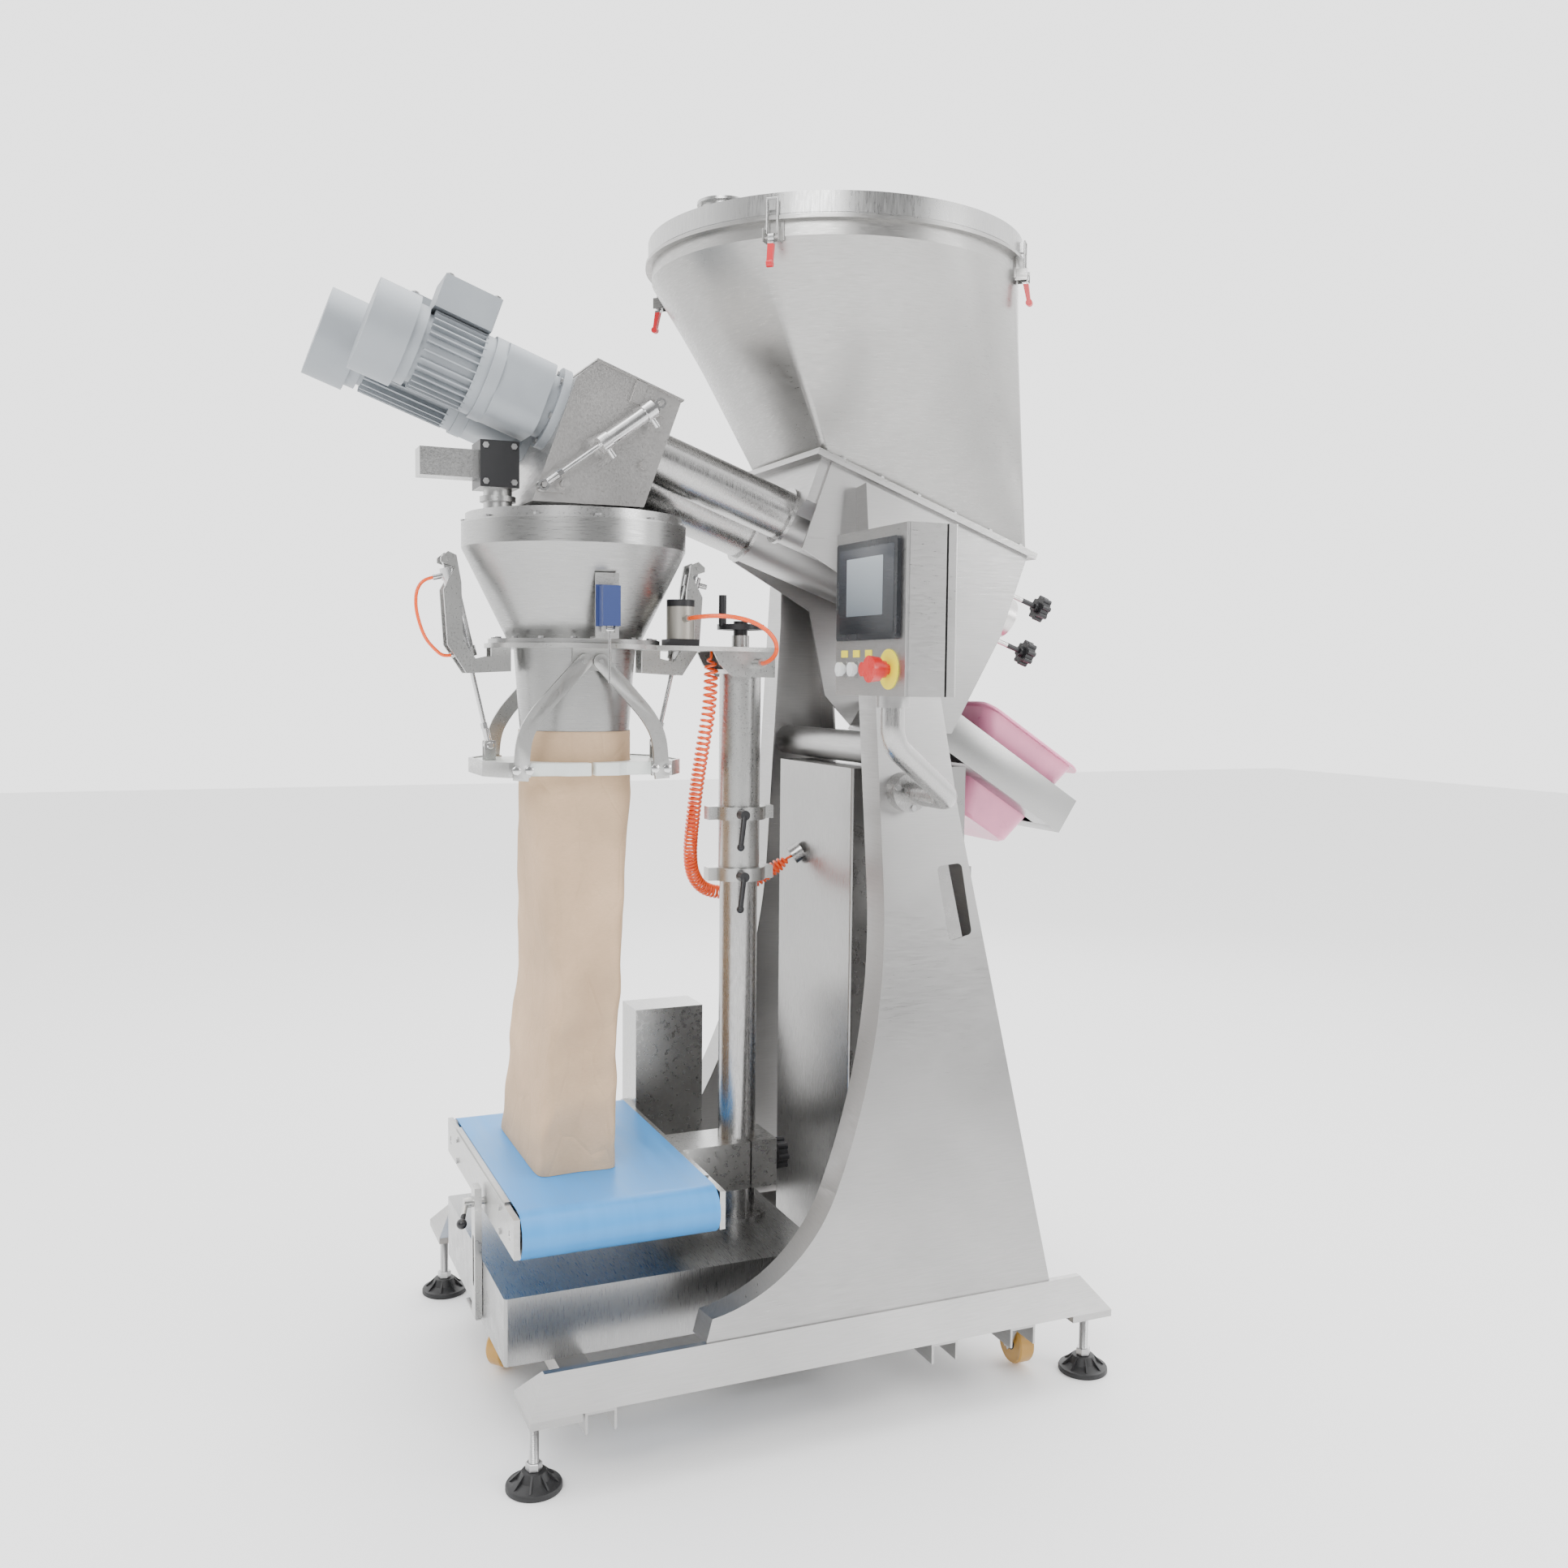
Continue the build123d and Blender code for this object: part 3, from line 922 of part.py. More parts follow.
# ---------------------------------------------------------------- filling cone, spout and cover
with BuildPart() as filling_cone:
    with BuildSketch(Plane.XZ) as cone_profile:
        with BuildLine():
            Polyline((CONE_R, CONE_TOP), (CONE_R, CONE_TOP - CONE_BAND), (CONE_THROAT_R + 3, DECK_Z + 2 * DECK),
                     (150, DECK_Z + 2 * DECK), (150, DECK_Z + DECK), (SPOUT_TOP_R, DECK_Z + DECK),
                     (SPOUT_END_R, SPOUT_END), (SPOUT_END_R - 2, SPOUT_END), (SPOUT_TOP_R - 2, DECK_Z + DECK + 2),
                     (CONE_THROAT_R, DECK_Z + 2 * DECK), (CONE_R - CONE_WALL, CONE_TOP - CONE_BAND),
                     (CONE_R - CONE_WALL, CONE_TOP), (CONE_R, CONE_TOP))
        make_face()
    revolve(cone_profile.sketch.moved(Location((HEAD_X, 0, 0))), axis=Axis((HEAD_X, 0, 0), (0, 0, 1)))
save(filling_cone, "filling_cone")

COVER_Z1 = CONE_TOP + 18
VALVE = (-484.0, -50.0)
with BuildPart() as cone_cover:
    rod((HEAD_X, 0, CONE_TOP), (HEAD_X, 0, CONE_TOP + 3), CONE_R)
    rod((HEAD_X, 0, CONE_TOP), (HEAD_X, 0, COVER_Z1), CONE_R - 7)
    block((FLAP_X - 16, -160, CONE_TOP - 1), (FLAP_X + 144, 160, COVER_Z1 + 1), Mode.SUBTRACT)
    rod((*VALVE, COVER_Z1), (*VALVE, COVER_Z1 + 34), 24)
    rod((*VALVE, COVER_Z1 + 13), (*VALVE, COVER_Z1 + 22), 30)
    block((-520, VALVE[1] - 35, COVER_Z1 + 34), (-455, VALVE[1] + 35, COVER_Z1 + 111))
    block((-616, VALVE[1] - 23, COVER_Z1 + 49), (-520, VALVE[1] + 23, COVER_Z1 + 95))
save(cone_cover, "cone_cover")

# ---------------------------------------------------------------- vibrator, limit switch and whisker
VIBRATOR = (-158.0, -50.0)
VIBRATOR_PORT_Z = 1352.0
with BuildPart() as vibrator:
    block((VIBRATOR[0] - 28, VIBRATOR[1] - 22, DECK_Z + DECK), (VIBRATOR[0] + 28, VIBRATOR[1] + 22, DECK_Z + DECK + 12))
    rod((*VIBRATOR, DECK_Z + DECK + 12), (*VIBRATOR, DECK_Z + DECK + 82), 25)
    rod((VIBRATOR[0], VIBRATOR[1], VIBRATOR_PORT_Z), (VIBRATOR[0], VIBRATOR[1] - 47, VIBRATOR_PORT_Z), 6)
save(vibrator, "vibrator")

SWITCH = (-330.0, -174.0)
WHISKER_Z = 1326.0
with BuildPart() as limit_switch:
    block((SWITCH[0] - 20, SWITCH[1] - 3, DECK_Z + 2 * DECK), (SWITCH[0] + 20, SWITCH[1], 1420))
    block((SWITCH[0] - 20, SWITCH[1] - 3, DECK_Z + 2 * DECK), (SWITCH[0] + 20, SWITCH[1] + 32, DECK_Z + 2 * DECK + 3))
    block((SWITCH[0] - 15, SWITCH[1] - 30, 1332), (SWITCH[0] + 15, SWITCH[1] - 3, 1398))
    rod((SWITCH[0], SWITCH[1] - 16, WHISKER_Z + 6.5), (SWITCH[0], SWITCH[1] - 16, WHISKER_Z + 4), 7)
    rod((SWITCH[0] - 12, SWITCH[1] - 16, WHISKER_Z), (SWITCH[0] - 9, SWITCH[1] - 16, WHISKER_Z), 3)
    for side in (-1, 1):
        block((SWITCH[0] + side * 10 - 2, SWITCH[1] - 22, WHISKER_Z - 5),
              (SWITCH[0] + side * 10 + 2, SWITCH[1] - 10, WHISKER_Z + 8))
    rod((SWITCH[0] - 12, SWITCH[1] - 16, WHISKER_Z), (SWITCH[0] + 12, SWITCH[1] - 16, WHISKER_Z), 2)
save(limit_switch, "limit_switch")

with BuildPart() as switch_whisker:
    rod((SWITCH[0] - 6, SWITCH[1] - 16, WHISKER_Z), (SWITCH[0] + 6, SWITCH[1] - 16, WHISKER_Z), 3.6)
    rod((SWITCH[0], SWITCH[1] - 16, WHISKER_Z - 1), (SWITCH[0], SWITCH[1] - 16, WHISKER_Z - 88), 2)
    rod((SWITCH[0] - 7, SWITCH[1] - 16, WHISKER_Z), (SWITCH[0] + 7, SWITCH[1] - 16, WHISKER_Z), 2 + RUNNING,
        Mode.SUBTRACT)
save(switch_whisker, "switch_whisker")


# ---------------------------------------------------------------- bag clamp jaws and their cylinders
def strip(points, width):
    """Rectangles along a path with round corners, in the open sketch."""
    for (x0, y0), (x1, y1) in zip(points, points[1:]):
        with Locations(Location(((x0 + x1) / 2, (y0 + y1) / 2), degrees(atan2(y1 - y0, x1 - x0)))):
            Rectangle(hypot(x1 - x0, y1 - y0), width)
    for point in points[1:-1]:
        with Locations(point):
            Circle(width / 2)


ARM_PATH = ((14, 0), (67, -57), (100, -96), (118, -135), (124, -201))
FRAME_PATH = ((106, -112.5), (142, -112.5), (174, -60), (174, 60), (142, 112.5), (106, 112.5))
PAD_OUTLINE = ((4, -126), (44, -126), (62, -110.5), (140, -110.5), (172, -60), (172, 60), (140, 110.5), (62, 110.5),
               (44, 126), (4, 126), (4, -126))
JAW_HOLE_R = BAG_NECK_R + 1.6


def jaw(label, side):
    """One jaw: two curved arms, the bent frame, its pad and the clevis; side is -1 for the front jaw."""
    with BuildPart() as clamp_jaw:
        for across in (-1, 1):
            y0 = across * CLAMP_ARM_Y - CLAMP_ARM / 2
            with BuildSketch(Plane.XZ.offset(-y0 - CLAMP_ARM)) as arm:
                strip([(HEAD_X + side * x, CLAMP_PIVOT_Z + z) for x, z in ARM_PATH], CLAMP_ARM_WIDTH)
                with Locations((HEAD_X + side * JAW_PIVOT, CLAMP_PIVOT_Z)):
                    Circle(CLAMP_ARM_WIDTH / 2)
                    Circle(PIN_R + RUNNING, mode=Mode.SUBTRACT)
            extrude(arm.sketch, amount=CLAMP_ARM)
        with BuildSketch(Plane.XY.offset(JAW_Z)) as bent_frame:
            strip([(HEAD_X + side * x, y) for x, y in FRAME_PATH], 5)
        extrude(bent_frame.sketch, amount=JAW_HEIGHT)
        with BuildSketch(Plane.XY.offset(JAW_Z + 2)) as pad:
            with BuildLine():
                Polyline(*[(HEAD_X + side * x, y) for x, y in PAD_OUTLINE])
            make_face()
            with Locations((HEAD_X, 0)):
                Circle(JAW_HOLE_R, mode=Mode.SUBTRACT)
        extrude(pad.sketch, amount=JAW_HEIGHT - 4)
        x = HEAD_X + side * CLEVIS_OFFSET
        for across in (-1, 1):
            block((x - 10, across * 8 - 2, JAW_Z + JAW_HEIGHT - 2), (x + 10, across * 8 + 2, CLEVIS_Z + 9))
        rod((x, -12, CLEVIS_Z), (x, 12, CLEVIS_Z), PIN_R)
    save(clamp_jaw, label)


jaw("front_jaw", -1)
jaw("rear_jaw", 1)
for prefix, (x, side) in zip(("front", "rear"), TRUNNIONS):
    cylinder_pair(prefix, (x, TRUNNION_Z), (HEAD_X + side * CLEVIS_OFFSET, CLEVIS_Z), 0, 0.52, 42, 0.7)

# ---------------------------------------------------------------- filled bag
BAG_SECTIONS = ((960.0, 170.0, 270.0, 60.0, -5.0, 6.0), (720.0, 130.0, 340.0, 42.0, -12.0, 10.0),
                (BELT_TOP + BAG_CLEARANCE, BAG_BOTTOM_X, BAG_BOTTOM_Y, 30.0, -31.0, 18.0))
BAG_NECK_Z = 1050.0
with BuildPart() as paper_bag:
    sections = []
    with BuildSketch(Plane.XY.offset(BAG_NECK_Z)) as neck:
        with Locations((HEAD_X, 0)):
            RectangleRounded(2 * BAG_NECK_R + 3, 2 * BAG_NECK_R + 3, BAG_NECK_R)
    sections.append(neck.sketch.faces()[0])
    for z, long_x, long_y, corner, shift_x, shift_y in BAG_SECTIONS:
        with BuildSketch(Plane.XY.offset(z)) as section:
            with Locations((HEAD_X + shift_x, shift_y)):
                RectangleRounded(long_x, long_y, corner)
        sections.append(section.sketch.faces()[0])
    loft(sections, ruled=True)
    pipe((HEAD_X, 0, BAG_NECK_Z), (HEAD_X, 0, BAG_TOP), BAG_NECK_R + 1.3, BAG_NECK_R - 0.7)
save(paper_bag, "paper_bag")

# ---------------------------------------------------------------- conveyor
PLATE_X0 = BELT_X0 - 2 - SIDE_PLATE
PLATE_X1 = BELT_X1 + 2 + SIDE_PLATE
SPINDLE_R = 8.0
with BuildPart() as conveyor_frame:
    for x in (PLATE_X0, BELT_X1 + 2):
        block((x, TAIL_Y - 30, BELT_AXIS_Z - 30), (x + SIDE_PLATE, DRIVE_Y + 30, BELT_TOP - 5))
        for y in (TAIL_Y, DRIVE_Y):
            rod((x - 1, y, BELT_AXIS_Z), (x + SIDE_PLATE + 1, y, BELT_AXIS_Z), SPINDLE_R + RUNNING, Mode.SUBTRACT)
    block((PLATE_X0 + 2, TAIL_Y + 46, BELT_TOP - 12), (PLATE_X1 - 2, DRIVE_Y - 46, BELT_TOP - BELT - BAG_CLEARANCE))
    for y in (TAIL_Y + 110, DRIVE_Y - 110):
        rod((PLATE_X0 + 2, y, BELT_AXIS_Z), (PLATE_X1 - 2, y, BELT_AXIS_Z), 9)
    block((PLATE_X1, COLUMN_Y - BLOCK_HALF_Y, BLOCK_Z0), (BLOCK_X1, COLUMN_Y + BLOCK_HALF_Y, BLOCK_Z1))
    rod((COLUMN_X, COLUMN_Y, BLOCK_Z0 - 1), (COLUMN_X, COLUMN_Y, BLOCK_Z1 + 1), COLUMN_INNER_R + RUNNING,
        Mode.SUBTRACT)
    block((COLUMN_X + 9, COLUMN_Y - BLOCK_HALF_Y - 1, BLOCK_Z0 - 1), (COLUMN_X + 12, COLUMN_Y, BLOCK_Z1 + 1),
          Mode.SUBTRACT)
    rod((BLOCK_X1, COLUMN_Y, BELT_AXIS_Z - 10), (BLOCK_X1 + 16, COLUMN_Y, BELT_AXIS_Z - 10), 12)
    with BuildSketch(Plane(origin=(BLOCK_X1 + 14, COLUMN_Y, BELT_AXIS_Z - 10), x_dir=(0, 1, 0),
                           z_dir=(1, 0, 0))) as star_knob:
        Circle(25)
        with PolarLocations(25, 8):
            Circle(6)
    extrude(star_knob.sketch, amount=20)
    block((PLATE_X1, DRIVE_Y - 40, BLOCK_Z0), (-20, DRIVE_Y + 50, 590))
    block((PLATE_X0 - 18, -80, 142), (PLATE_X0 - 6, -50, 372))
    rod((PLATE_X0 - 20, -65, 345), (PLATE_X0, -65, 345), 6)
    with BuildSketch(Plane(origin=(PLATE_X0 - 19, -65, 241), x_dir=(0, 0, 1), z_dir=(1, 0, 0))) as slot:
        SlotOverall(90, 11)
    extrude(slot.sketch, amount=14, mode=Mode.SUBTRACT)
    rod((PLATE_X0 - 18, -65, 345), (PLATE_X0 - 34, -65, 345), 9)
    rod((PLATE_X0 - 30, -65, 345), (PLATE_X0 - 44, -100, 322), 4.5)
    with Locations((PLATE_X0 - 44, -100, 322)):
        Sphere(9)
save(conveyor_frame, "conveyor_frame")

with BuildPart() as conveyor_belt:
    with BuildSketch(Plane.YZ.offset(BELT_X0)) as loop:
        with Locations(((TAIL_Y + DRIVE_Y) / 2, BELT_AXIS_Z)):
            SlotCenterToCenter(DRIVE_Y - TAIL_Y, 2 * (ROLLER_R + BELT_GAP + BELT))
            SlotCenterToCenter(DRIVE_Y - TAIL_Y, 2 * (ROLLER_R + BELT_GAP), mode=Mode.SUBTRACT)
    extrude(loop.sketch, amount=BELT_X1 - BELT_X0)
save(conveyor_belt, "conveyor_belt")

for label, y in (("tail_roller", TAIL_Y), ("drive_roller", DRIVE_Y)):
    with BuildPart() as roller:
        rod((BELT_X0, y, BELT_AXIS_Z), (BELT_X1, y, BELT_AXIS_Z), ROLLER_R)
        rod((PLATE_X0 + 1, y, BELT_AXIS_Z), (PLATE_X1 - 1, y, BELT_AXIS_Z), SPINDLE_R)
    save(roller, label)

# ---------------------------------------------------------------- pendant arm, box and controls
PENDANT_AXIS = (22.0, -525.0)
PENDANT_PATH = ((HUB_X, -268, HUB_Z), (HUB_X, -440, HUB_Z), (*PENDANT_AXIS, 1150), (*PENDANT_AXIS, PENDANT_Z0 - 2))
with BuildPart() as pendant_arm:
    with BuildLine() as arm_line:
        FilletPolyline(*PENDANT_PATH, radius=(48, 48))
    with BuildSketch(Plane(arm_line.line @ 0, z_dir=arm_line.line % 0)) as arm_section:
        Circle(PENDANT_TUBE_R)
    sweep(arm_section.sketch, path=arm_line.line)
    rod((HUB_X, -250, HUB_Z), (HUB_X, -305, HUB_Z), 34)
    with Locations(panel_plane(-1)):
        Box(3000, 3000, 200, align=(Align.CENTER, Align.CENTER, Align.MAX), mode=Mode.SUBTRACT)
save(pendant_arm, "pendant_arm")

SCREEN = (-422.0, -626.0, 1308.0, 1458.0)
BUTTON_Z = 1264.0
BUTTON_YS = (("button_start", -440.0), ("button_reset", -482.0), ("button_stop", -524.0))
ESTOP_Y = -592.0
BUTTON_SHAFT_R = 8.0
BUTTON_TRAVEL = 4.0
with BuildPart() as pendant_box:
    block((PENDANT_X0, PENDANT_Y0, PENDANT_Z0), (PENDANT_X1, PENDANT_Y1, PENDANT_Z1))
    fillet(pendant_box.edges().filter_by(Axis.Z), 4)
    block((PENDANT_X1 - 20, PENDANT_Y0 - 1, PENDANT_Z0 - 1), (PENDANT_X1 - 17, PENDANT_Y1 + 1, PENDANT_Z1 + 1),
          Mode.SUBTRACT)
    block((PENDANT_X1 - 21, PENDANT_Y0 + 8, PENDANT_Z0 + 8), (PENDANT_X1 - 16, PENDANT_Y1 - 8, PENDANT_Z1 - 8))
    rod((*PENDANT_AXIS, PENDANT_Z0 - 18), (*PENDANT_AXIS, PENDANT_Z0), PENDANT_TUBE_R + 7)
    rod((*PENDANT_AXIS, PENDANT_Z0 - 19), (*PENDANT_AXIS, PENDANT_Z0), PENDANT_TUBE_R + RUNNING, Mode.SUBTRACT)
    for label, y in (*BUTTON_YS, ("estop_button", ESTOP_Y)):
        ring = 30 if label == "estop_button" else 14
        rod((PENDANT_X0 - 2, y, BUTTON_Z), (PENDANT_X0, y, BUTTON_Z), ring)
        rod((PENDANT_X0 - 3, y, BUTTON_Z), (PENDANT_X0 + 30, y, BUTTON_Z), BUTTON_SHAFT_R + RUNNING, Mode.SUBTRACT)
save(pendant_box, "pendant_box")

with BuildPart() as touch_screen:
    block((PENDANT_X0 - 7, SCREEN[1], SCREEN[2]), (PENDANT_X0, SCREEN[0], SCREEN[3]))
    fillet(touch_screen.edges().filter_by(Axis.X), 5)
save(touch_screen, "touch_screen")

for label, y in BUTTON_YS:
    with BuildPart() as button:
        rod((PENDANT_X0 - 12, y, BUTTON_Z), (PENDANT_X0 - 2 - BUTTON_TRAVEL, y, BUTTON_Z), 11)
        rod((PENDANT_X0 - 7, y, BUTTON_Z), (PENDANT_X0 + 22, y, BUTTON_Z), BUTTON_SHAFT_R)
    save(button, label)

with BuildPart() as estop_button:
    tapered((PENDANT_X0 - 34, ESTOP_Y, BUTTON_Z), (PENDANT_X0 - 18, ESTOP_Y, BUTTON_Z), 20, 18)
    rod((PENDANT_X0 - 18, ESTOP_Y, BUTTON_Z), (PENDANT_X0 - 8, ESTOP_Y, BUTTON_Z), 13)
    rod((PENDANT_X0 - 9, ESTOP_Y, BUTTON_Z), (PENDANT_X0 + 22, ESTOP_Y, BUTTON_Z), BUTTON_SHAFT_R)
save(estop_button, "estop_button")

# ---------------------------------------------------------------- rear tray and its catch bin
TRAY_START = (280.0, 1147.0)
TRAY_END = (576.0, 957.0)
TRAY_RUN = hypot(TRAY_END[0] - TRAY_START[0], TRAY_END[1] - TRAY_START[1])
TRAY_SHEET = 2.0
TRAY_HEIGHT = 72.0
BIN_TOP = 134.0
BIN_SOLE = -62.0
BIN_MOUTH = (236.0, 260.0)
BIN_FOOT = (130.0, 190.0)
BIN_MOUTH_S = 220.0
BIN_FOOT_S = 245.0
BIN_LIP = 10.0
TRAY_HALF_Y = TROUGH_HALF_Y
TRAY_PLANE = Plane(origin=(TRAY_START[0], 0, TRAY_START[1]),
                   x_dir=(TRAY_END[0] - TRAY_START[0], 0, TRAY_END[1] - TRAY_START[1]),
                   z_dir=(TRAY_START[1] - TRAY_END[1], 0, TRAY_END[0] - TRAY_START[0]))


def on_tray(s0, s1, half_y, n0, n1, mode=Mode.ADD):
    """A box in the tray's tilted frame, along, across and square to its floor."""
    with Locations(TRAY_PLANE * Location(((s0 + s1) / 2, 0, (n0 + n1) / 2))):
        Box(s1 - s0, 2 * half_y, n1 - n0, mode=mode)


def tub_form(inset, top):
    """The bin's tapered form, smaller by inset on every side."""
    with BuildSketch(TRAY_PLANE.offset(top)) as mouth:
        with Locations((BIN_MOUTH_S, 0)):
            RectangleRounded(BIN_MOUTH[0] - 2 * inset, BIN_MOUTH[1] - 2 * inset, 30)
    with BuildSketch(TRAY_PLANE.offset(BIN_SOLE + inset)) as sole:
        with Locations((BIN_FOOT_S, 0)):
            RectangleRounded(BIN_FOOT[0] - 2 * inset, BIN_FOOT[1] - 2 * inset, 30)
    return loft([mouth.sketch.faces()[0], sole.sketch.faces()[0]], mode=Mode.PRIVATE)


with BuildPart() as rear_tray:
    on_tray(0, TRAY_RUN, TRAY_HALF_Y, 0, TRAY_HEIGHT)
    on_tray(TRAY_SHEET, TRAY_RUN - TRAY_SHEET, TRAY_HALF_Y - TRAY_SHEET, TRAY_SHEET, TRAY_HEIGHT + 1,
            Mode.SUBTRACT)
    add(tub_form(0, BIN_TOP))
    on_tray(BIN_MOUTH_S - BIN_MOUTH[0] / 2 - BIN_LIP, BIN_MOUTH_S + BIN_MOUTH[0] / 2 + BIN_LIP,
            BIN_MOUTH[1] / 2 + BIN_LIP, BIN_TOP - 6, BIN_TOP)
    add(tub_form(TRAY_SHEET, BIN_TOP), mode=Mode.SUBTRACT)
save(rear_tray, "rear_tray")

# ---------------------------------------------------------------- hoses
COIL_R = 14.0                # outer radius of the spiral hose's coil
HOSE_R = 4.0
CLAMP_HOSE_R = 3.0


def hose(label, points, radius):
    """A free hose as one tube: straight runs joined by arcs as large as the runs allow."""
    runs = [Vector(*end) - Vector(*start) for start, end in zip(points, points[1:])]
    radii = [0.45 * min(before.length, after.length) / tan(radians(before.get_angle(after)) / 2)
             for before, after in zip(runs, runs[1:])]
    print(label, "radii", [round(value) for value in radii])
    with BuildPart() as tube:
        with BuildLine() as route:
            path = FilletPolyline(*points, radius=radii)
        with BuildSketch(Plane(path @ 0, z_dir=path % 0)) as section:
            Circle(radius)
        sweep(section.sketch, path=route.line)
    print(label, "length", round(path.length), "volume share",
          round(tube.part.volume / (pi * radius ** 2 * path.length), 3))
    save(tube, label)


hose("spiral_hose", [(-96, -42, DECK_Z), (-96, -42, 1212), (-102, -22, 1136), (-106, 0, 1062), (-108, 18, 990),
                     (-106, 40, 928), (-94, 64, 880), (-66, 86, 846), (-24, 96, 832), (20, 92, 842),
                     (58, 80, 862), (88, 67, 887), HOSE_GLAND_TIP], COIL_R)
hose("vibrator_hose", [(VIBRATOR[0], VIBRATOR[1] - 47, VIBRATOR_PORT_Z), (-157, -122, 1353), (-130, -146, 1356),
                       (-92, -160, 1354), (-52, -166, 1342), (-22, -164, 1318), (-12, -150, 1294),
                       (GLAND_X + 1, -127, 1277), (GLAND_X, COLUMN_Y - ARM_HALF_Y - 26, GLAND_Z)], HOSE_R)
clamp_aim = Vector(HEAD_X - CLEVIS_OFFSET - TRUNNIONS[0][0], 0, CLEVIS_Z - TRUNNION_Z)
clamp_run = clamp_aim.length
clamp_aim = clamp_aim.normalized()
clamp_out = Vector(clamp_aim.Z, 0, -clamp_aim.X)
port_high = Vector(TRUNNIONS[0][0], 0, TRUNNION_Z) + clamp_aim * 26 + clamp_out * PORT_REACH
port_low = Vector(TRUNNIONS[0][0], 0, TRUNNION_Z) + clamp_aim * (0.52 * clamp_run - 9) + clamp_out * PORT_REACH
hose("clamp_hose", [tuple(port_high), tuple(port_high + clamp_out * 15), (-612, -2, 1392), (-614, -4, 1364),
                    (-608, -4, 1336), (-598, -3, 1310), (-583, -1, 1293), tuple(port_low + clamp_out * 13),
                    tuple(port_low)], CLAMP_HOSE_R)
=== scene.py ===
"""Studio scene of the open-mouth bag filling machine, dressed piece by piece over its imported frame."""

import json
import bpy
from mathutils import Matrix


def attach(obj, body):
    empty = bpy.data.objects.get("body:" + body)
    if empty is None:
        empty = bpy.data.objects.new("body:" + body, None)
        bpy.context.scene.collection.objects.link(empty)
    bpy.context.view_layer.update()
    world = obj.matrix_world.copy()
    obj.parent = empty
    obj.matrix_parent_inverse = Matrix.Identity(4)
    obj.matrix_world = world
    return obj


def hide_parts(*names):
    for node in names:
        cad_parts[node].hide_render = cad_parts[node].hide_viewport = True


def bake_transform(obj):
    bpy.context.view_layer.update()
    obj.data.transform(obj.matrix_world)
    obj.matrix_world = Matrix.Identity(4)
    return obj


bl_info = {
    "name": "Bag Filling Machine",
    "version": (1, 0, 0),
    "blender": (4, 5, 0),
    "location": "View3D > Sidebar > Filler",
    "description": "Dresses the packed bag filling machine with its finishes, hoses, bag and small fittings",
    "category": "Object",
}

from math import cos, exp, pi, radians, sin, sqrt

import bmesh
import bpy
from bpy.props import FloatProperty, FloatVectorProperty, IntProperty, PointerProperty
from mathutils import Matrix, Vector

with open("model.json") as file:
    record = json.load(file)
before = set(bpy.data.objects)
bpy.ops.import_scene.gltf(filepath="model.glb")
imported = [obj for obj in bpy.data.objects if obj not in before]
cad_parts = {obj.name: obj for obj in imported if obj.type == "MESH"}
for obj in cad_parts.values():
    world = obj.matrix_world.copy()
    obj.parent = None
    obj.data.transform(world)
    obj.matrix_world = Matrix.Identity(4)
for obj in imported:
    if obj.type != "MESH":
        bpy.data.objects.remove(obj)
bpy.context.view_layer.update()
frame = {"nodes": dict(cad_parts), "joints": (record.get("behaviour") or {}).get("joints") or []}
NODES = frame["nodes"]
JOINTS = {joint["name"]: joint for joint in frame["joints"]}

# places that several pieces share, in metres
MM = 0.001
HEAD = Vector((-0.338, 0.0, 0.0))
TILT = radians(20)
SCREW_LINE = Vector((cos(TILT), 0, -sin(TILT)))
SCREW_UP = Vector((sin(TILT), 0, cos(TILT)))
SCREW_ORIGIN = Vector((-0.060, 0, 1.571))


# ---------------------------------------------------------------- properties
class FinishSettings(bpy.types.PropertyGroup):
    """Colours of the finishes."""

    belt: FloatVectorProperty(name="Belt", description="Colour of the conveyor belt", subtype="COLOR",
                              default=(0.045, 0.30, 0.72), min=0, max=1)
    hose: FloatVectorProperty(name="Air hose", description="Colour of the air hoses", subtype="COLOR",
                              default=(0.95, 0.105, 0.008), min=0, max=1)
    paper: FloatVectorProperty(name="Bag paper", description="Colour of the bag's paper", subtype="COLOR",
                               default=(0.60, 0.42, 0.27), min=0, max=1)
    bin: FloatVectorProperty(name="Catch bin", description="Colour of the bin under the screws", subtype="COLOR",
                             default=(0.95, 0.33, 0.52), min=0, max=1)
    motor: FloatVectorProperty(name="Motor paint", description="Colour of the gearmotors", subtype="COLOR",
                               default=(0.33, 0.355, 0.38), min=0, max=1)
    tread: FloatVectorProperty(name="Caster tread", description="Colour of the caster treads", subtype="COLOR",
                               default=(0.55, 0.30, 0.06), min=0, max=1)


class HoseSettings(bpy.types.PropertyGroup):
    """Sizes of the spiral hose's winding."""

    tube: FloatProperty(name="Tube diameter", description="Diameter of the wound tube", unit="LENGTH",
                        default=0.0052, min=0.003, max=0.008)
    pitch_top: FloatProperty(name="Pitch at the top", description="Distance between turns where the coil hangs",
                             unit="LENGTH", default=0.0135, min=0.007, max=0.03)
    pitch_low: FloatProperty(name="Pitch at the foot", description="Distance between turns where the coil lies slack",
                             unit="LENGTH", default=0.0078, min=0.006, max=0.03)


class BagSettings(bpy.types.PropertyGroup):
    """Folds of the paper bag."""

    gusset: FloatProperty(name="Gusset depth", description="How far the side folds draw in", unit="LENGTH",
                          default=0.016, min=0, max=0.03)
    crumple: FloatProperty(name="Crumple", description="Height of the paper's creases", unit="LENGTH",
                           default=0.0022, min=0, max=0.006)


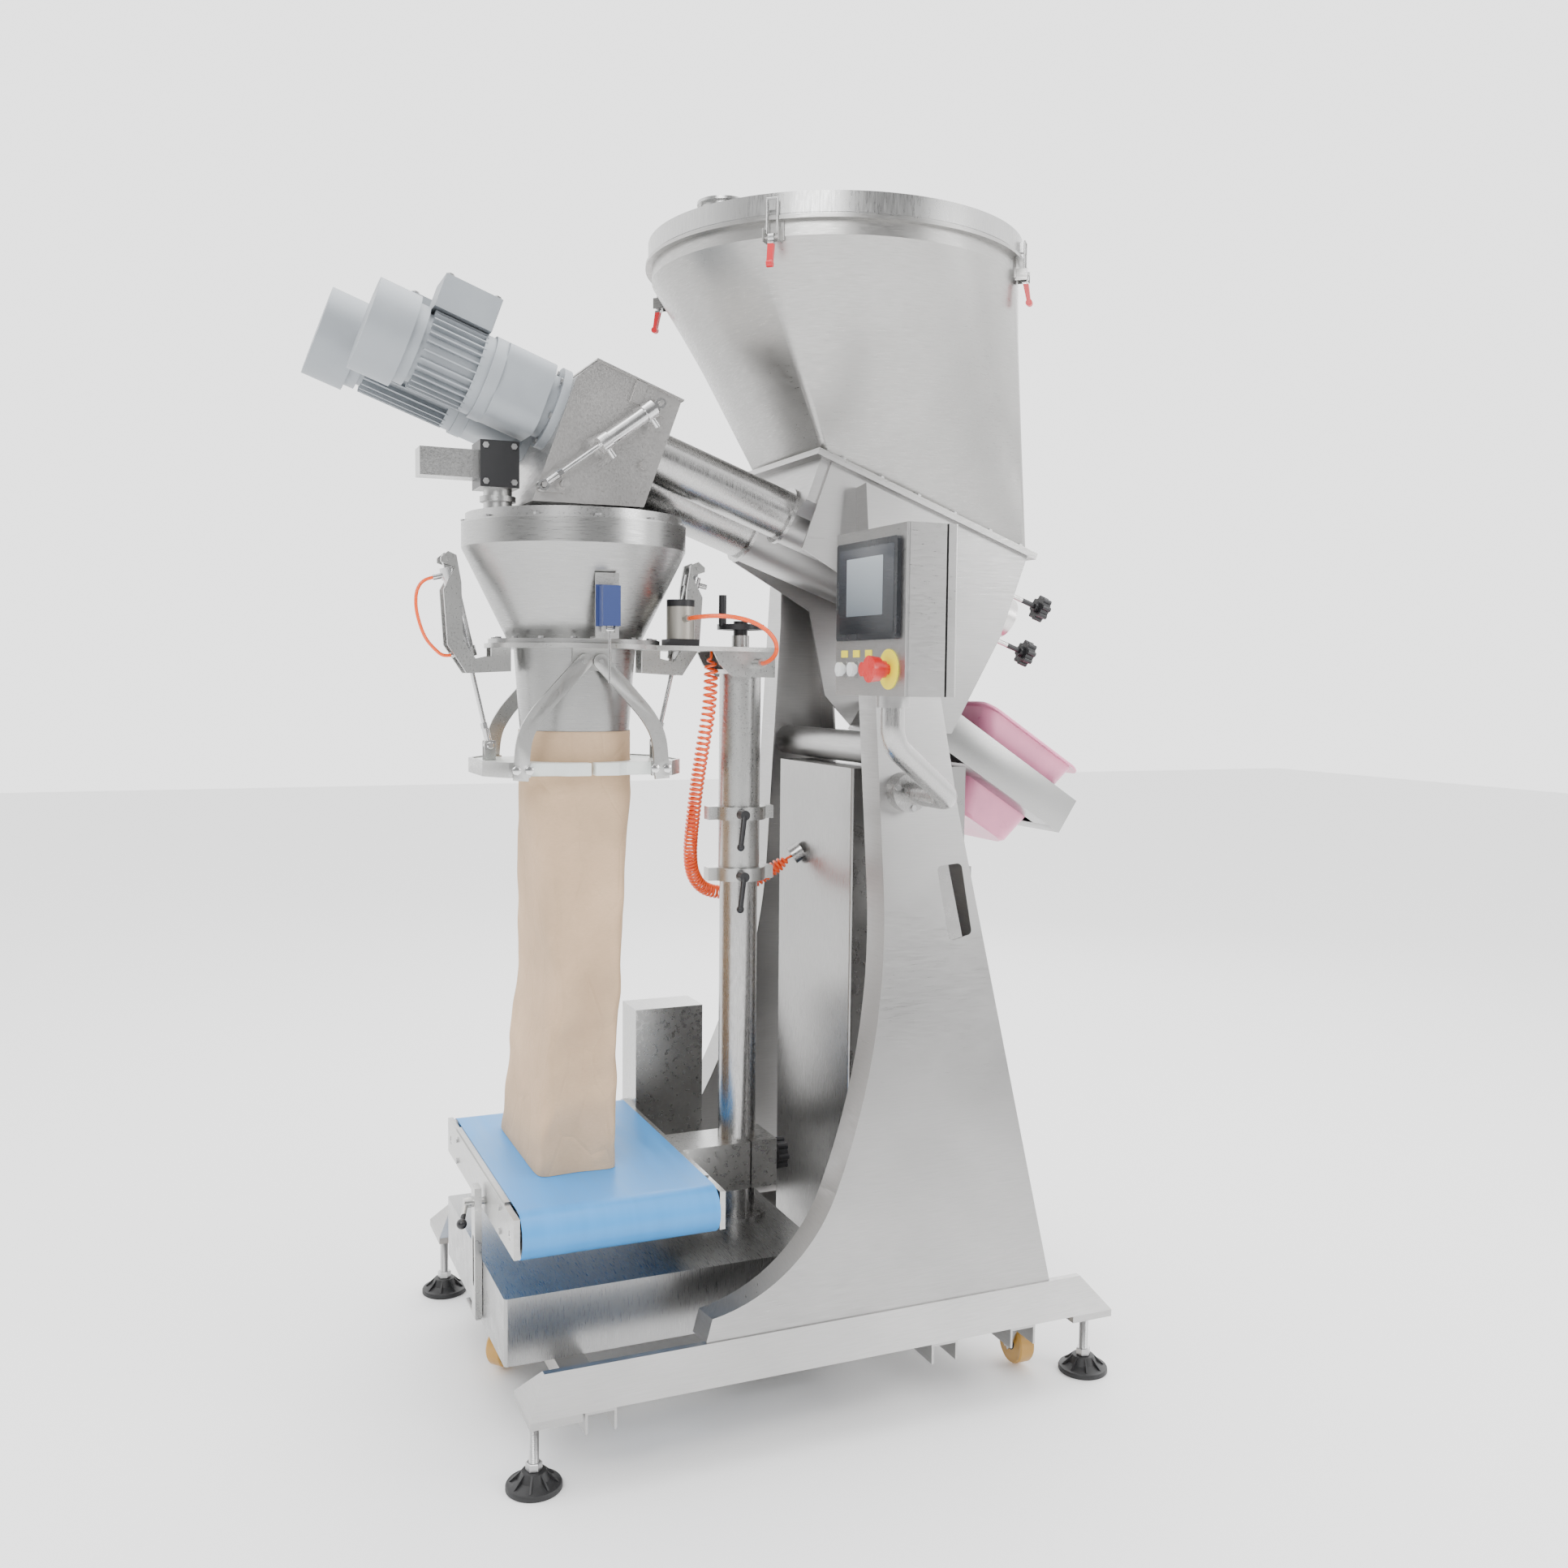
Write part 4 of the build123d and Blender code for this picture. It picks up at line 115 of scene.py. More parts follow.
class FastenerSettings(bpy.types.PropertyGroup):
    """Sizes of the bolt heads."""

    head: FloatProperty(name="Head radius", description="Radius of a bolt head", unit="LENGTH", default=0.0055,
                        min=0.002, max=0.01)
    height: FloatProperty(name="Head height", description="Height of a bolt head", unit="LENGTH", default=0.0035,
                          min=0.001, max=0.01)
    sides: IntProperty(name="Sides", description="Sides of a bolt head", default=6, min=6, max=12)


def settings():
    """The scene's own settings."""
    return bpy.context.scene


# ---------------------------------------------------------------- materials
class Surface:
    """One procedural material on Object coordinates, built up node by node."""

    def __init__(self, name):
        self.material = bpy.data.materials.new(name)
        self.material.use_nodes = True
        self.tree = self.material.node_tree
        self.shader = self.tree.nodes["Principled BSDF"]
        self.place = self.tree.nodes.new("ShaderNodeTexCoord").outputs["Object"]

    def node(self, kind, inputs=(), **values):
        """A node with its settings, its input values and its links."""
        made = self.tree.nodes.new(kind)
        for key, value in values.items():
            setattr(made, key, value)
        for key, value in dict(inputs).items():
            if isinstance(value, bpy.types.NodeSocket):
                self.tree.links.new(value, made.inputs[key])
            else:
                made.inputs[key].default_value = value
        return made

    def stretched(self, scale):
        """Object coordinates drawn out by an unequal scale."""
        return self.node("ShaderNodeMapping", {"Vector": self.place, "Scale": scale}).outputs[0]

    def noise(self, scale, vector=None, detail=4.0, rough=0.55):
        """A noise value."""
        links = {"Scale": scale, "Detail": detail, "Roughness": rough, "Vector": vector or self.place}
        return self.node("ShaderNodeTexNoise", links).outputs["Fac"]

    def span(self, value, low, high, start=0.3, end=0.7):
        """A value moved from start..end to low..high."""
        links = {"Value": value, "From Min": start, "From Max": end, "To Min": low, "To Max": high}
        return self.node("ShaderNodeMapRange", links).outputs[0]

    def sums(self, operation, a, b):
        """Two values joined by one sum."""
        made = self.node("ShaderNodeMath", {0: a, 1: b}, operation=operation)
        return made.outputs[0]

    def blend(self, factor, a, b):
        """Two colours mixed by a factor."""
        made = self.node("ShaderNodeMix", {0: factor}, data_type="RGBA")
        for socket, colour in ((made.inputs[6], a), (made.inputs[7], b)):
            if isinstance(colour, bpy.types.NodeSocket):
                self.tree.links.new(colour, socket)
            else:
                socket.default_value = (*colour, 1)
        return made.outputs[2]

    def mask(self, slabs):
        """One inside every slab, nought outside; a slab is (direction, low, high) in metres."""
        total = None
        for direction, low, high in slabs:
            along = self.node("ShaderNodeVectorMath", {0: self.place, 1: direction}, operation="DOT_PRODUCT")
            above = self.sums("GREATER_THAN", along.outputs["Value"], low)
            below = self.sums("LESS_THAN", along.outputs["Value"], high)
            both = self.sums("MULTIPLY", above, below)
            total = both if total is None else self.sums("MULTIPLY", total, both)
        return total

    def drive(self, **links):
        """Values or links on the shader's sockets."""
        for key, value in links.items():
            socket = self.shader.inputs[key.replace("_", " ")]
            if isinstance(value, bpy.types.NodeSocket):
                self.tree.links.new(value, socket)
            else:
                socket.default_value = value

    def bump(self, height, distance, strength=0.5):
        """A bump from a height value."""
        made = self.node("ShaderNodeBump", {"Height": height, "Distance": distance, "Strength": strength})
        self.drive(Normal=made.outputs[0])


def brushed_steel(name, grain=(6, 6, 260), tone=(0.60, 0.59, 0.575), rough=0.30, patches=()):
    """Brushed stainless steel; patches are (slabs, colour, metallic, roughness) that differ from it."""
    steel = Surface(name)
    streak = steel.noise(9.0, steel.stretched(grain), 6.0, 0.65)
    cloud = steel.noise(2.6, detail=3.0)
    dark = tuple(value * 0.80 for value in tone)
    light = tuple(min(value * 1.10, 1) for value in tone)
    colour = steel.blend(steel.span(cloud, 0, 1), dark, light)
    colour = steel.blend(steel.span(streak, 0.0, 0.35), colour, tuple(value * 0.72 for value in tone))
    roughness = steel.span(streak, rough - 0.07, rough + 0.12)
    roughness = steel.sums("ADD", roughness, steel.span(cloud, -0.03, 0.05))
    metal = None
    for slabs, patch_colour, patch_metal, patch_rough in patches:
        inside = steel.mask(slabs)
        outside = steel.sums("SUBTRACT", 1.0, inside)
        colour = steel.blend(inside, colour, patch_colour)
        base_metal = 1.0 if metal is None else metal
        metal = steel.sums("ADD", steel.sums("MULTIPLY", base_metal, outside),
                           steel.sums("MULTIPLY", inside, patch_metal))
        roughness = steel.sums("ADD", steel.sums("MULTIPLY", roughness, outside),
                               steel.sums("MULTIPLY", inside, patch_rough))
    steel.drive(Base_Color=colour, Roughness=roughness, Metallic=1.0 if metal is None else metal)
    steel.bump(streak, 0.0004, 0.12)
    return steel.material


def polished_steel(name, tone=(0.72, 0.72, 0.72), rough=0.14):
    """Turned or polished steel with faint rings of wear."""
    steel = Surface(name)
    wear = steel.noise(34.0, detail=5.0)
    steel.drive(Base_Color=steel.blend(steel.span(wear, 0, 1), tuple(v * 0.86 for v in tone), tone),
                Roughness=steel.span(wear, rough, rough + 0.16), Metallic=1.0)
    steel.bump(wear, 0.0003, 0.08)
    return steel.material


def painted_casting(name, colour, rough=0.42):
    """Silver-grey machine paint over cast metal, dulled in the hollows."""
    paint = Surface(name)
    orange_peel = paint.noise(190.0, detail=3.0)
    smudge = paint.noise(7.0, detail=5.0)
    paint.drive(Base_Color=paint.blend(paint.span(smudge, 0, 1), tuple(v * 0.84 for v in colour), colour),
                Roughness=paint.span(smudge, rough, rough + 0.14), Metallic=0.25)
    paint.bump(orange_peel, 0.0006, 0.25)
    return paint.material


def moulded_plastic(name, colour, rough=0.38, grain=0.15, coat=0.0):
    """Moulded plastic with a fine grain and faint handling marks."""
    plastic = Surface(name)
    fine = plastic.noise(420.0, detail=2.0)
    marks = plastic.noise(22.0, detail=6.0)
    plastic.drive(Base_Color=plastic.blend(plastic.span(marks, 0, 1), tuple(v * 0.88 for v in colour), colour),
                  Roughness=plastic.span(marks, rough - 0.06, rough + 0.10), Coat_Weight=coat)
    plastic.bump(fine, 0.0003, grain)
    return plastic.material


def belt_cover(colour):
    """The belt's smooth cover with a faint cross weave and scuffs along its run."""
    belt = Surface("blue belt")
    weave = belt.noise(60.0, belt.stretched((14, 14, 14)), 2.0)
    scuff = belt.noise(5.0, belt.stretched((9, 1.2, 1)), 6.0)
    belt.drive(Base_Color=belt.blend(belt.span(scuff, 0, 1), tuple(v * 0.90 for v in colour), colour),
               Roughness=belt.span(scuff, 0.30, 0.46), Specular_IOR_Level=0.45)
    belt.bump(weave, 0.0003, 0.15)
    return belt.material


def kraft_paper(colour):
    """Kraft paper with fibres, soft creases and darker rubbed patches."""
    paper = Surface("kraft paper")
    fibre = paper.noise(150.0, paper.stretched((1, 1, 4)), 6.0, 0.7)
    crease = paper.node("ShaderNodeTexVoronoi", {"Scale": 17.0, "Vector": paper.stretched((1, 1, 0.55))},
                        feature="DISTANCE_TO_EDGE").outputs["Distance"]
    patch = paper.noise(6.5, detail=5.0)
    tint = paper.blend(paper.span(patch, 0, 1), tuple(v * 0.80 for v in colour), tuple(min(v * 1.12, 1) for v in colour))
    tint = paper.blend(paper.span(fibre, 0, 0.35), tint, tuple(v * 0.72 for v in colour))
    paper.drive(Base_Color=tint, Roughness=paper.span(fibre, 0.68, 0.86), Specular_IOR_Level=0.25)
    height = paper.sums("ADD", paper.sums("MULTIPLY", paper.span(crease, 0, 1, 0.0, 0.06), 0.6),
                        paper.sums("MULTIPLY", patch, 1.5))
    paper.bump(paper.sums("ADD", height, paper.sums("MULTIPLY", fibre, 0.12)), 0.0022, 0.55)
    return paper.material


def hose_plastic(colour):
    """Polyurethane air hose."""
    hose = Surface("orange hose")
    tone = hose.noise(40.0, detail=3.0)
    hose.drive(Base_Color=hose.blend(hose.span(tone, 0, 1), tuple(v * 0.9 for v in colour), colour),
               Roughness=hose.span(tone, 0.24, 0.34), Coat_Weight=0.15)
    hose.bump(tone, 0.0002, 0.05)
    return hose.material


def display_glass(name, low, high, rough=0.12):
    """A dark display with a painted reflection: its colour brightens towards its top."""
    glass = Surface(name)
    height = glass.node("ShaderNodeSeparateXYZ", {0: glass.place}).outputs["Z"]
    smear = glass.noise(18.0, detail=5.0)
    # painted reflection: the colour runs from low to high between these heights
    painted_reflection = glass.span(height, 0, 1, 1.33, 1.45)
    glass.drive(Base_Color=glass.blend(painted_reflection, low, high), Roughness=glass.span(smear, rough, rough + 0.1),
                Coat_Weight=0.5)
    return glass.material


# ---------------------------------------------------------------- shapes
class Form:
    """A mesh in the making, in the machine's frame, in metres."""

    def __init__(self):
        self.bm = bmesh.new()

    def grid(self, rows, closed=True, caps=True, material=0):
        """Faces over rows of points; closed joins each row's ends, caps fill the first and last row."""
        made = [[self.bm.verts.new(point) for point in row] for row in rows]
        count = len(made[0])
        for low, high in zip(made, made[1:]):
            for i in range(count if closed else count - 1):
                j = (i + 1) % count
                face = self.bm.faces.new((low[i], low[j], high[j], high[i]))
                face.material_index = material
        if caps:
            for row in (made[0], made[-1]):
                self.bm.faces.new(row).material_index = material
        return made

    def lathe(self, profile, start, axis, steps=40, material=0):
        """A turned shape; profile is (radius, distance along axis)."""
        axis = Vector(axis).normalized()
        side = axis.orthogonal().normalized()
        other = axis.cross(side)
        rows = []
        for radius, along in profile:
            radius = max(radius, 1e-5)
            centre = Vector(start) + axis * along
            rows.append([centre + (side * cos(2 * pi * i / steps) + other * sin(2 * pi * i / steps)) * radius
                         for i in range(steps)])
        self.grid(rows, material=material)

    def prism(self, outline, origin, across, up, depth, bevel=0.0, material=0):
        """A flat outline in the plane of across and up, given thickness along their normal."""
        across, up = Vector(across).normalized(), Vector(up).normalized()
        normal = across.cross(up)
        low = [Vector(origin) + across * x + up * y for x, y in outline]
        rows = [[point + normal * step for point in low] for step in (0, depth)]
        made = self.grid(rows, material=material)
        if bevel:
            edges = {edge for row in made for vert in row for edge in vert.link_edges}
            bmesh.ops.bevel(self.bm, geom=list(edges), offset=bevel, segments=2, affect="EDGES", profile=0.5,
                            clamp_overlap=True, material=material)

    def box(self, low, high, bevel=0.0, material=0):
        """An upright box between two corners."""
        outline = [(low[0], low[1]), (high[0], low[1]), (high[0], high[1]), (low[0], high[1])]
        self.prism(outline, (0, 0, low[2]), (1, 0, 0), (0, 1, 0), high[2] - low[2], bevel, material)

    def piece(self, name, body, slot, materials, replaced=(), flat=False, merge=True):
        """The finished mesh as a piece of the machine that rides on a body."""
        if merge:
            bmesh.ops.remove_doubles(self.bm, verts=self.bm.verts, dist=2e-6)
        bmesh.ops.recalc_face_normals(self.bm, faces=self.bm.faces)
        mesh = bpy.data.meshes.new(name)
        self.bm.to_mesh(mesh)
        self.bm.free()
        for material in materials:
            mesh.materials.append(material)
        if not flat:
            mesh.shade_smooth()
            mesh.set_sharp_from_angle(angle=radians(32))
        made = bpy.data.objects.new(name, mesh)
        bpy.context.collection.objects.link(made)
        settle(made, body, replaced)
        return made


def settle(made, body, replaced=()):
    """The piece rides on its body and stands for the nodes it replaces."""
    if replaced:
        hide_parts(*replaced)
    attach(made, body)


def dress(material, *names):
    """Gives CAD nodes a material."""
    for name in names:
        mesh = NODES[name].data
        mesh.materials.clear()
        mesh.materials.append(material)


def box_slabs(low, high):
    """An upright box as three slabs."""
    return [((1, 0, 0), low[0], high[0]), ((0, 1, 0), low[1], high[1]), ((0, 0, 1), low[2], high[2])]


def smooth_path(points, steps=8):
    """A curve through the points, as closely spaced points."""
    points = [Vector(point) for point in points]
    ends = [2 * points[0] - points[1]] + points + [2 * points[-1] - points[-2]]
    path = []
    for before, start, end, after in zip(ends, ends[1:], ends[2:], ends[3:]):
        for i in range(steps):
            t = i / steps
            path.append(0.5 * (2 * start + (end - before) * t + (2 * before - 5 * start + 4 * end - after) * t * t
                               + (3 * start - before - 3 * end + after) * t ** 3))
    return path + [points[-1]]


# ---------------------------------------------------------------- stage
CAMERA_PLACE = Vector((-1.0067, -2.4904, 1.250))
CAMERA_YAW = radians(23.34)
CAMERA_PITCH = radians(4.23)
CAMERA_ROLL = radians(0.60)
CAMERA_LENS = 33.0


def camera_turn():
    """The camera's orientation from its yaw, downward pitch and roll."""
    forward = Vector((sin(CAMERA_YAW) * cos(CAMERA_PITCH), cos(CAMERA_YAW) * cos(CAMERA_PITCH), -sin(CAMERA_PITCH)))
    level = Vector((cos(CAMERA_YAW), -sin(CAMERA_YAW), 0))
    up = level.cross(forward)
    right = level * cos(CAMERA_ROLL) + up * sin(CAMERA_ROLL)
    top = up * cos(CAMERA_ROLL) - level * sin(CAMERA_ROLL)
    return Matrix((right, top, -forward)).transposed()


class FILLER_OT_stage(bpy.types.Operator):
    """Makes the camera, the floor and the studio light"""

    bl_idname = "filler.stage"
    bl_label = "Stage"

    def execute(self, context):
        camera = bpy.data.objects.new("camera", bpy.data.cameras.new("camera"))
        camera.data.lens = CAMERA_LENS
        camera.data.sensor_width = 36
        camera.matrix_world = Matrix.Translation(CAMERA_PLACE) @ camera_turn().to_4x4()
        context.collection.objects.link(camera)
        context.scene.camera = camera
        floor_form = bmesh.new()
        bmesh.ops.create_grid(floor_form, x_segments=1, y_segments=1, size=14)
        floor_mesh = bpy.data.meshes.new("floor")
        floor_form.to_mesh(floor_mesh)
        floor_form.free()
        floor = bpy.data.objects.new("floor", floor_mesh)
        context.collection.objects.link(floor)
        pale = Surface("pale floor")
        pale.drive(Base_Color=(0.93, 0.93, 0.93, 1), Roughness=0.75)
        floor_mesh.materials.append(pale.material)
        world = bpy.data.worlds.new("studio")
        context.scene.world = world
        world.use_nodes = True
        tree = world.node_tree
        sky = tree.nodes["Background"]
        look = tree.nodes.new("ShaderNodeTexCoord").outputs["Generated"]
        aim = tree.nodes.new("ShaderNodeVectorMath")
        aim.operation = "DOT_PRODUCT"
        aim.inputs[1].default_value = (sin(CAMERA_YAW), cos(CAMERA_YAW), 0.55)
        tree.links.new(look, aim.inputs[0])
        glow = tree.nodes.new("ShaderNodeMapRange")
        glow.interpolation_type = "SMOOTHSTEP"
        for socket, value in (("From Min", -0.60), ("From Max", 0.30), ("To Min", 0.30), ("To Max", 2.6)):
            glow.inputs[socket].default_value = value
        tree.links.new(aim.outputs["Value"], glow.inputs["Value"])
        tree.links.new(glow.outputs[0], sky.inputs["Strength"])
        sky.inputs["Color"].default_value = (1.0, 1.0, 1.0, 1)
        lamps = (("key", (-2.2, -3.2, 3.4), 2.0, 120), ("fill", (2.8, -3.0, 2.2), 1.6, 60), ("top", (0.2, 0.4, 4.2), 3.0, 90),
                 ("rear", (2.2, 3.2, 2.6), 2.6, 40))
        for name, place, size, watts in lamps:
            lamp = bpy.data.objects.new(name, bpy.data.lights.new(name, "AREA"))
            lamp.data.size = size
            lamp.data.energy = watts
            lamp.location = place
            aim = Vector((0, 0, 1.0)) - Vector(place)
            lamp.rotation_euler = aim.to_track_quat("-Z", "Y").to_euler()
            context.collection.objects.link(lamp)
        return {"FINISHED"}


# ---------------------------------------------------------------- hoses
COIL_ROUTE = [(-96, -42, 1296), (-96, -42, 1212), (-102, -22, 1136), (-106, 0, 1062), (-108, 18, 990), (-106, 40, 928),
              (-94, 64, 880), (-66, 86, 846), (-24, 96, 832), (20, 92, 842), (58, 80, 862), (88, 67, 887),
              (112, 60.5, 903.6)]
COIL_RADIUS = 0.0112
VIBRATOR_ROUTE = [(-158, -97, 1352), (-157, -122, 1353), (-130, -146, 1356), (-92, -160, 1354), (-52, -166, 1342),
                  (-22, -164, 1318), (-12, -150, 1294), (-19, -127, 1277), (-20, -102, 1275)]
CLAMP_TOP = Vector((-562, 0, 1445))
CLAMP_AIM = Vector((72, 0, -317)).normalized()
CLAMP_OUT = Vector((CLAMP_AIM.z, 0, -CLAMP_AIM.x))
PORT_HIGH = CLAMP_TOP + CLAMP_AIM * 26 + CLAMP_OUT * 29
PORT_LOW = CLAMP_TOP + CLAMP_AIM * (0.52 * Vector((72, 0, -317)).length - 9) + CLAMP_OUT * 29
CLAMP_ROUTE = [PORT_HIGH, PORT_HIGH + CLAMP_OUT * 15, (-612, -2, 1392), (-614, -4, 1364), (-608, -4, 1336),
               (-598, -3, 1310), (-583, -1, 1293), PORT_LOW + CLAMP_OUT * 13, PORT_LOW]


def spline_curve(name, points, radius, resolution=6):
    """A smooth open curve with the points as its control points, in metres."""
    curve = bpy.data.curves.new(name, "CURVE")
    curve.dimensions = "3D"
    curve.bevel_depth = radius
    curve.bevel_resolution = 3
    curve.use_fill_caps = True
    spline = curve.splines.new("NURBS")
    spline.points.add(len(points) - 1)
    for slot, point in zip(spline.points, points):
        slot.co = (*point, 1)
    spline.order_u = 3
    spline.use_endpoint_u = True
    spline.resolution_u = resolution
    made = bpy.data.objects.new(name, curve)
    bpy.context.collection.objects.link(made)
    return made


def centreline(points):
    """The smooth line of a route's control points, as closely spaced points."""
    guide = spline_curve("guide", points, 0.0, 24)
    evaluated = guide.evaluated_get(bpy.context.evaluated_depsgraph_get())
    mesh = bpy.data.meshes.new_from_object(evaluated)
    path = [vertex.co.copy() for vertex in mesh.vertices]
    bpy.data.meshes.remove(mesh)
    bpy.data.objects.remove(guide)
    return path


def path_length(path):
    """The length of a run of points."""
    return sum((b - a).length for a, b in zip(path, path[1:]))


def winding(route, radius, pitch_top, pitch_low, per_turn=12):
    """A helix about the route, tight where it hangs slack and drawn out where it hangs."""
    path = centreline(route)
    total = path_length(path)
    side = (path[1] - path[0]).orthogonal().normalized()
    points, turn, covered, due = [path[0].copy()], 0.0, 0.0, 0.0
    for start, end in zip(path, path[1:]):
        step = end - start
        length = step.length
        aim = step.normalized()
        side = (side - aim * side.dot(aim)).normalized()
        other = aim.cross(side)
        while due <= covered + length:
            share = due / total
            pitch = pitch_top + (pitch_low - pitch_top) * min(1, share * 2.0)
            swell = min(1, due / 0.03, (total - due) / 0.03)
            spot = start + aim * (due - covered)
            if due > 0.012 and total - due > 0.012:
                points.append(spot + (side * cos(turn) + other * sin(turn)) * radius * swell)
            turn += 2 * pi / per_turn
            due += pitch / per_turn
        covered += length
    return points + [path[-1].copy()]


def route_metres(route):
    """A route's points in metres."""
    return [Vector(point) * MM for point in route]


class FILLER_OT_hoses(bpy.types.Operator):
    """Makes the spiral air hose and the two short air hoses"""

    bl_idname = "filler.hoses"
    bl_label = "Air hoses"

    def execute(self, context):
        colours, coil = settings().filler_finish, settings().filler_hose
        orange = hose_plastic(tuple(colours.hose))
        turns = winding(route_metres(COIL_ROUTE), COIL_RADIUS, coil.pitch_top, coil.pitch_low)
        wound = spline_curve("wound_tube", turns, coil.tube / 2, 2)
        tube = bpy.data.meshes.new_from_object(wound.evaluated_get(context.evaluated_depsgraph_get()))
        bpy.data.objects.remove(wound)
        joined = bmesh.new()
        joined.from_mesh(tube)
        bmesh.ops.remove_doubles(joined, verts=joined.verts, dist=1e-5)
        bmesh.ops.recalc_face_normals(joined, faces=joined.faces)
        joined.to_mesh(tube)
        joined.free()
        tube.shade_smooth()
        tube.materials.clear()
        spiral = bpy.data.objects.new("spiral_air_hose", tube)
        context.collection.objects.link(spiral)
        short = (("vibrator_air_hose", VIBRATOR_ROUTE, 0.0040, "vibrator_hose", "head"),
                 ("clamp_air_hose", CLAMP_ROUTE, 0.0030, "clamp_hose", "front_cylinder"))
        spiral.data.materials.append(orange)
        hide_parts("spiral_hose")
        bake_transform(spiral)
        line = centreline(turns)
        for name, route, radius, node, body in short:
            points = route_metres(route)
            hose = spline_curve(name, points, radius, 12)
            hose.data.materials.append(orange)
            settle(hose, body, [node])
            path_length(centreline(points))
        return {"FINISHED"}


# ---------------------------------------------------------------- bag
BAG_LEVELS = ((0.3986, 0.0715, 0.1595, 11.0, -0.031, 0.018, 0.3), (0.44, 0.0715, 0.1610, 9.0, -0.0285, 0.017, 0.8),
              (0.56, 0.0680, 0.1640, 7.0, -0.0215, 0.014, 1.0), (0.72, 0.0640, 0.1680, 5.5, -0.0120, 0.010, 1.0),
              (0.86, 0.0755, 0.1480, 4.4, -0.0079, 0.0077, 0.8), (0.96, 0.0835, 0.1320, 3.4, -0.0050, 0.006, 0.45),
              (1.045, 0.0975, 0.1000, 2.2, 0.0, 0.0, 0.0), (1.06, 0.0983, 0.0983, 2.0, 0.0, 0.0, 0.0),
              (1.154, 0.0983, 0.0983, 2.0, 0.0, 0.0, 0.0))
BAG_ROWS = 150
BAG_STEPS = 160


def bag_level(z):
    """The bag's half depth, half width, squareness, shift and fold share at a height."""
    for low, high in zip(BAG_LEVELS, BAG_LEVELS[1:]):
        if z <= high[0]:
            share = (z - low[0]) / (high[0] - low[0])
            share = share * share * (3 - 2 * share)
            return [a + (b - a) * share for a, b in zip(low[1:], high[1:])]
    return list(BAG_LEVELS[-1][1:])


def bag_point(turn, z, gusset, crumple):
    """A point of the paper at a bearing and a height."""
    depth, width, square, shift_x, shift_y, fold = bag_level(z)
    c, s = cos(turn), sin(turn)
    x = depth * (abs(c) ** (2 / square)) * (1 if c >= 0 else -1)
    y = width * (abs(s) ** (2 / square)) * (1 if s >= 0 else -1)
    middle = max(0.0, 1 - abs(x) / (depth * 0.8)) if abs(s) > 0.55 else 0.0
    y -= (1 if y > 0 else -1) * gusset * fold * middle
    slack = fold * crumple
    wave = sin(31 * z + 3 * turn) * sin(2 * turn + 9 * z) + 0.6 * sin(57 * z - 5 * turn + 1.3) * cos(23 * z + turn)
    dent = exp(-((z - 0.98) / 0.03) ** 2) * sin(7 * turn) * 0.9
    draw = 1 - max(0.0, slack * (1.3 + wave) + crumple * fold * dent) / 0.1
    rim = 0.0004 * sin(5 * turn) if z > 1.1 else 0.0
    return HEAD + Vector((shift_x + x * draw + rim * c, shift_y + y * draw + rim * s, z))


class FILLER_OT_bag(bpy.types.Operator):
    """Makes the paper bag that hangs on the spout and stands on the belt"""

    bl_idname = "filler.bag"
    bl_label = "Paper bag"

    def execute(self, context):
        folds = settings().filler_bag
        low, high = BAG_LEVELS[0][0], BAG_LEVELS[-1][0]
        form = Form()
        rows = []
        for row in range(BAG_ROWS + 1):
            z = low + (high - low) * row / BAG_ROWS
            rows.append([bag_point(2 * pi * step / BAG_STEPS, z, folds.gusset, folds.crumple)
                         for step in range(BAG_STEPS)])
        made = form.grid(rows, caps=False)
        form.bm.faces.new(made[0])
        bag = form.piece("kraft_bag", "head", "kraft", [kraft_paper(tuple(settings().filler_finish.paper))],
                         ["paper_bag"], merge=False)
        wall = bag.modifiers.new("paper", "SOLIDIFY")
        wall.thickness = 0.0009
        wall.offset = -1
        return {"FINISHED"}


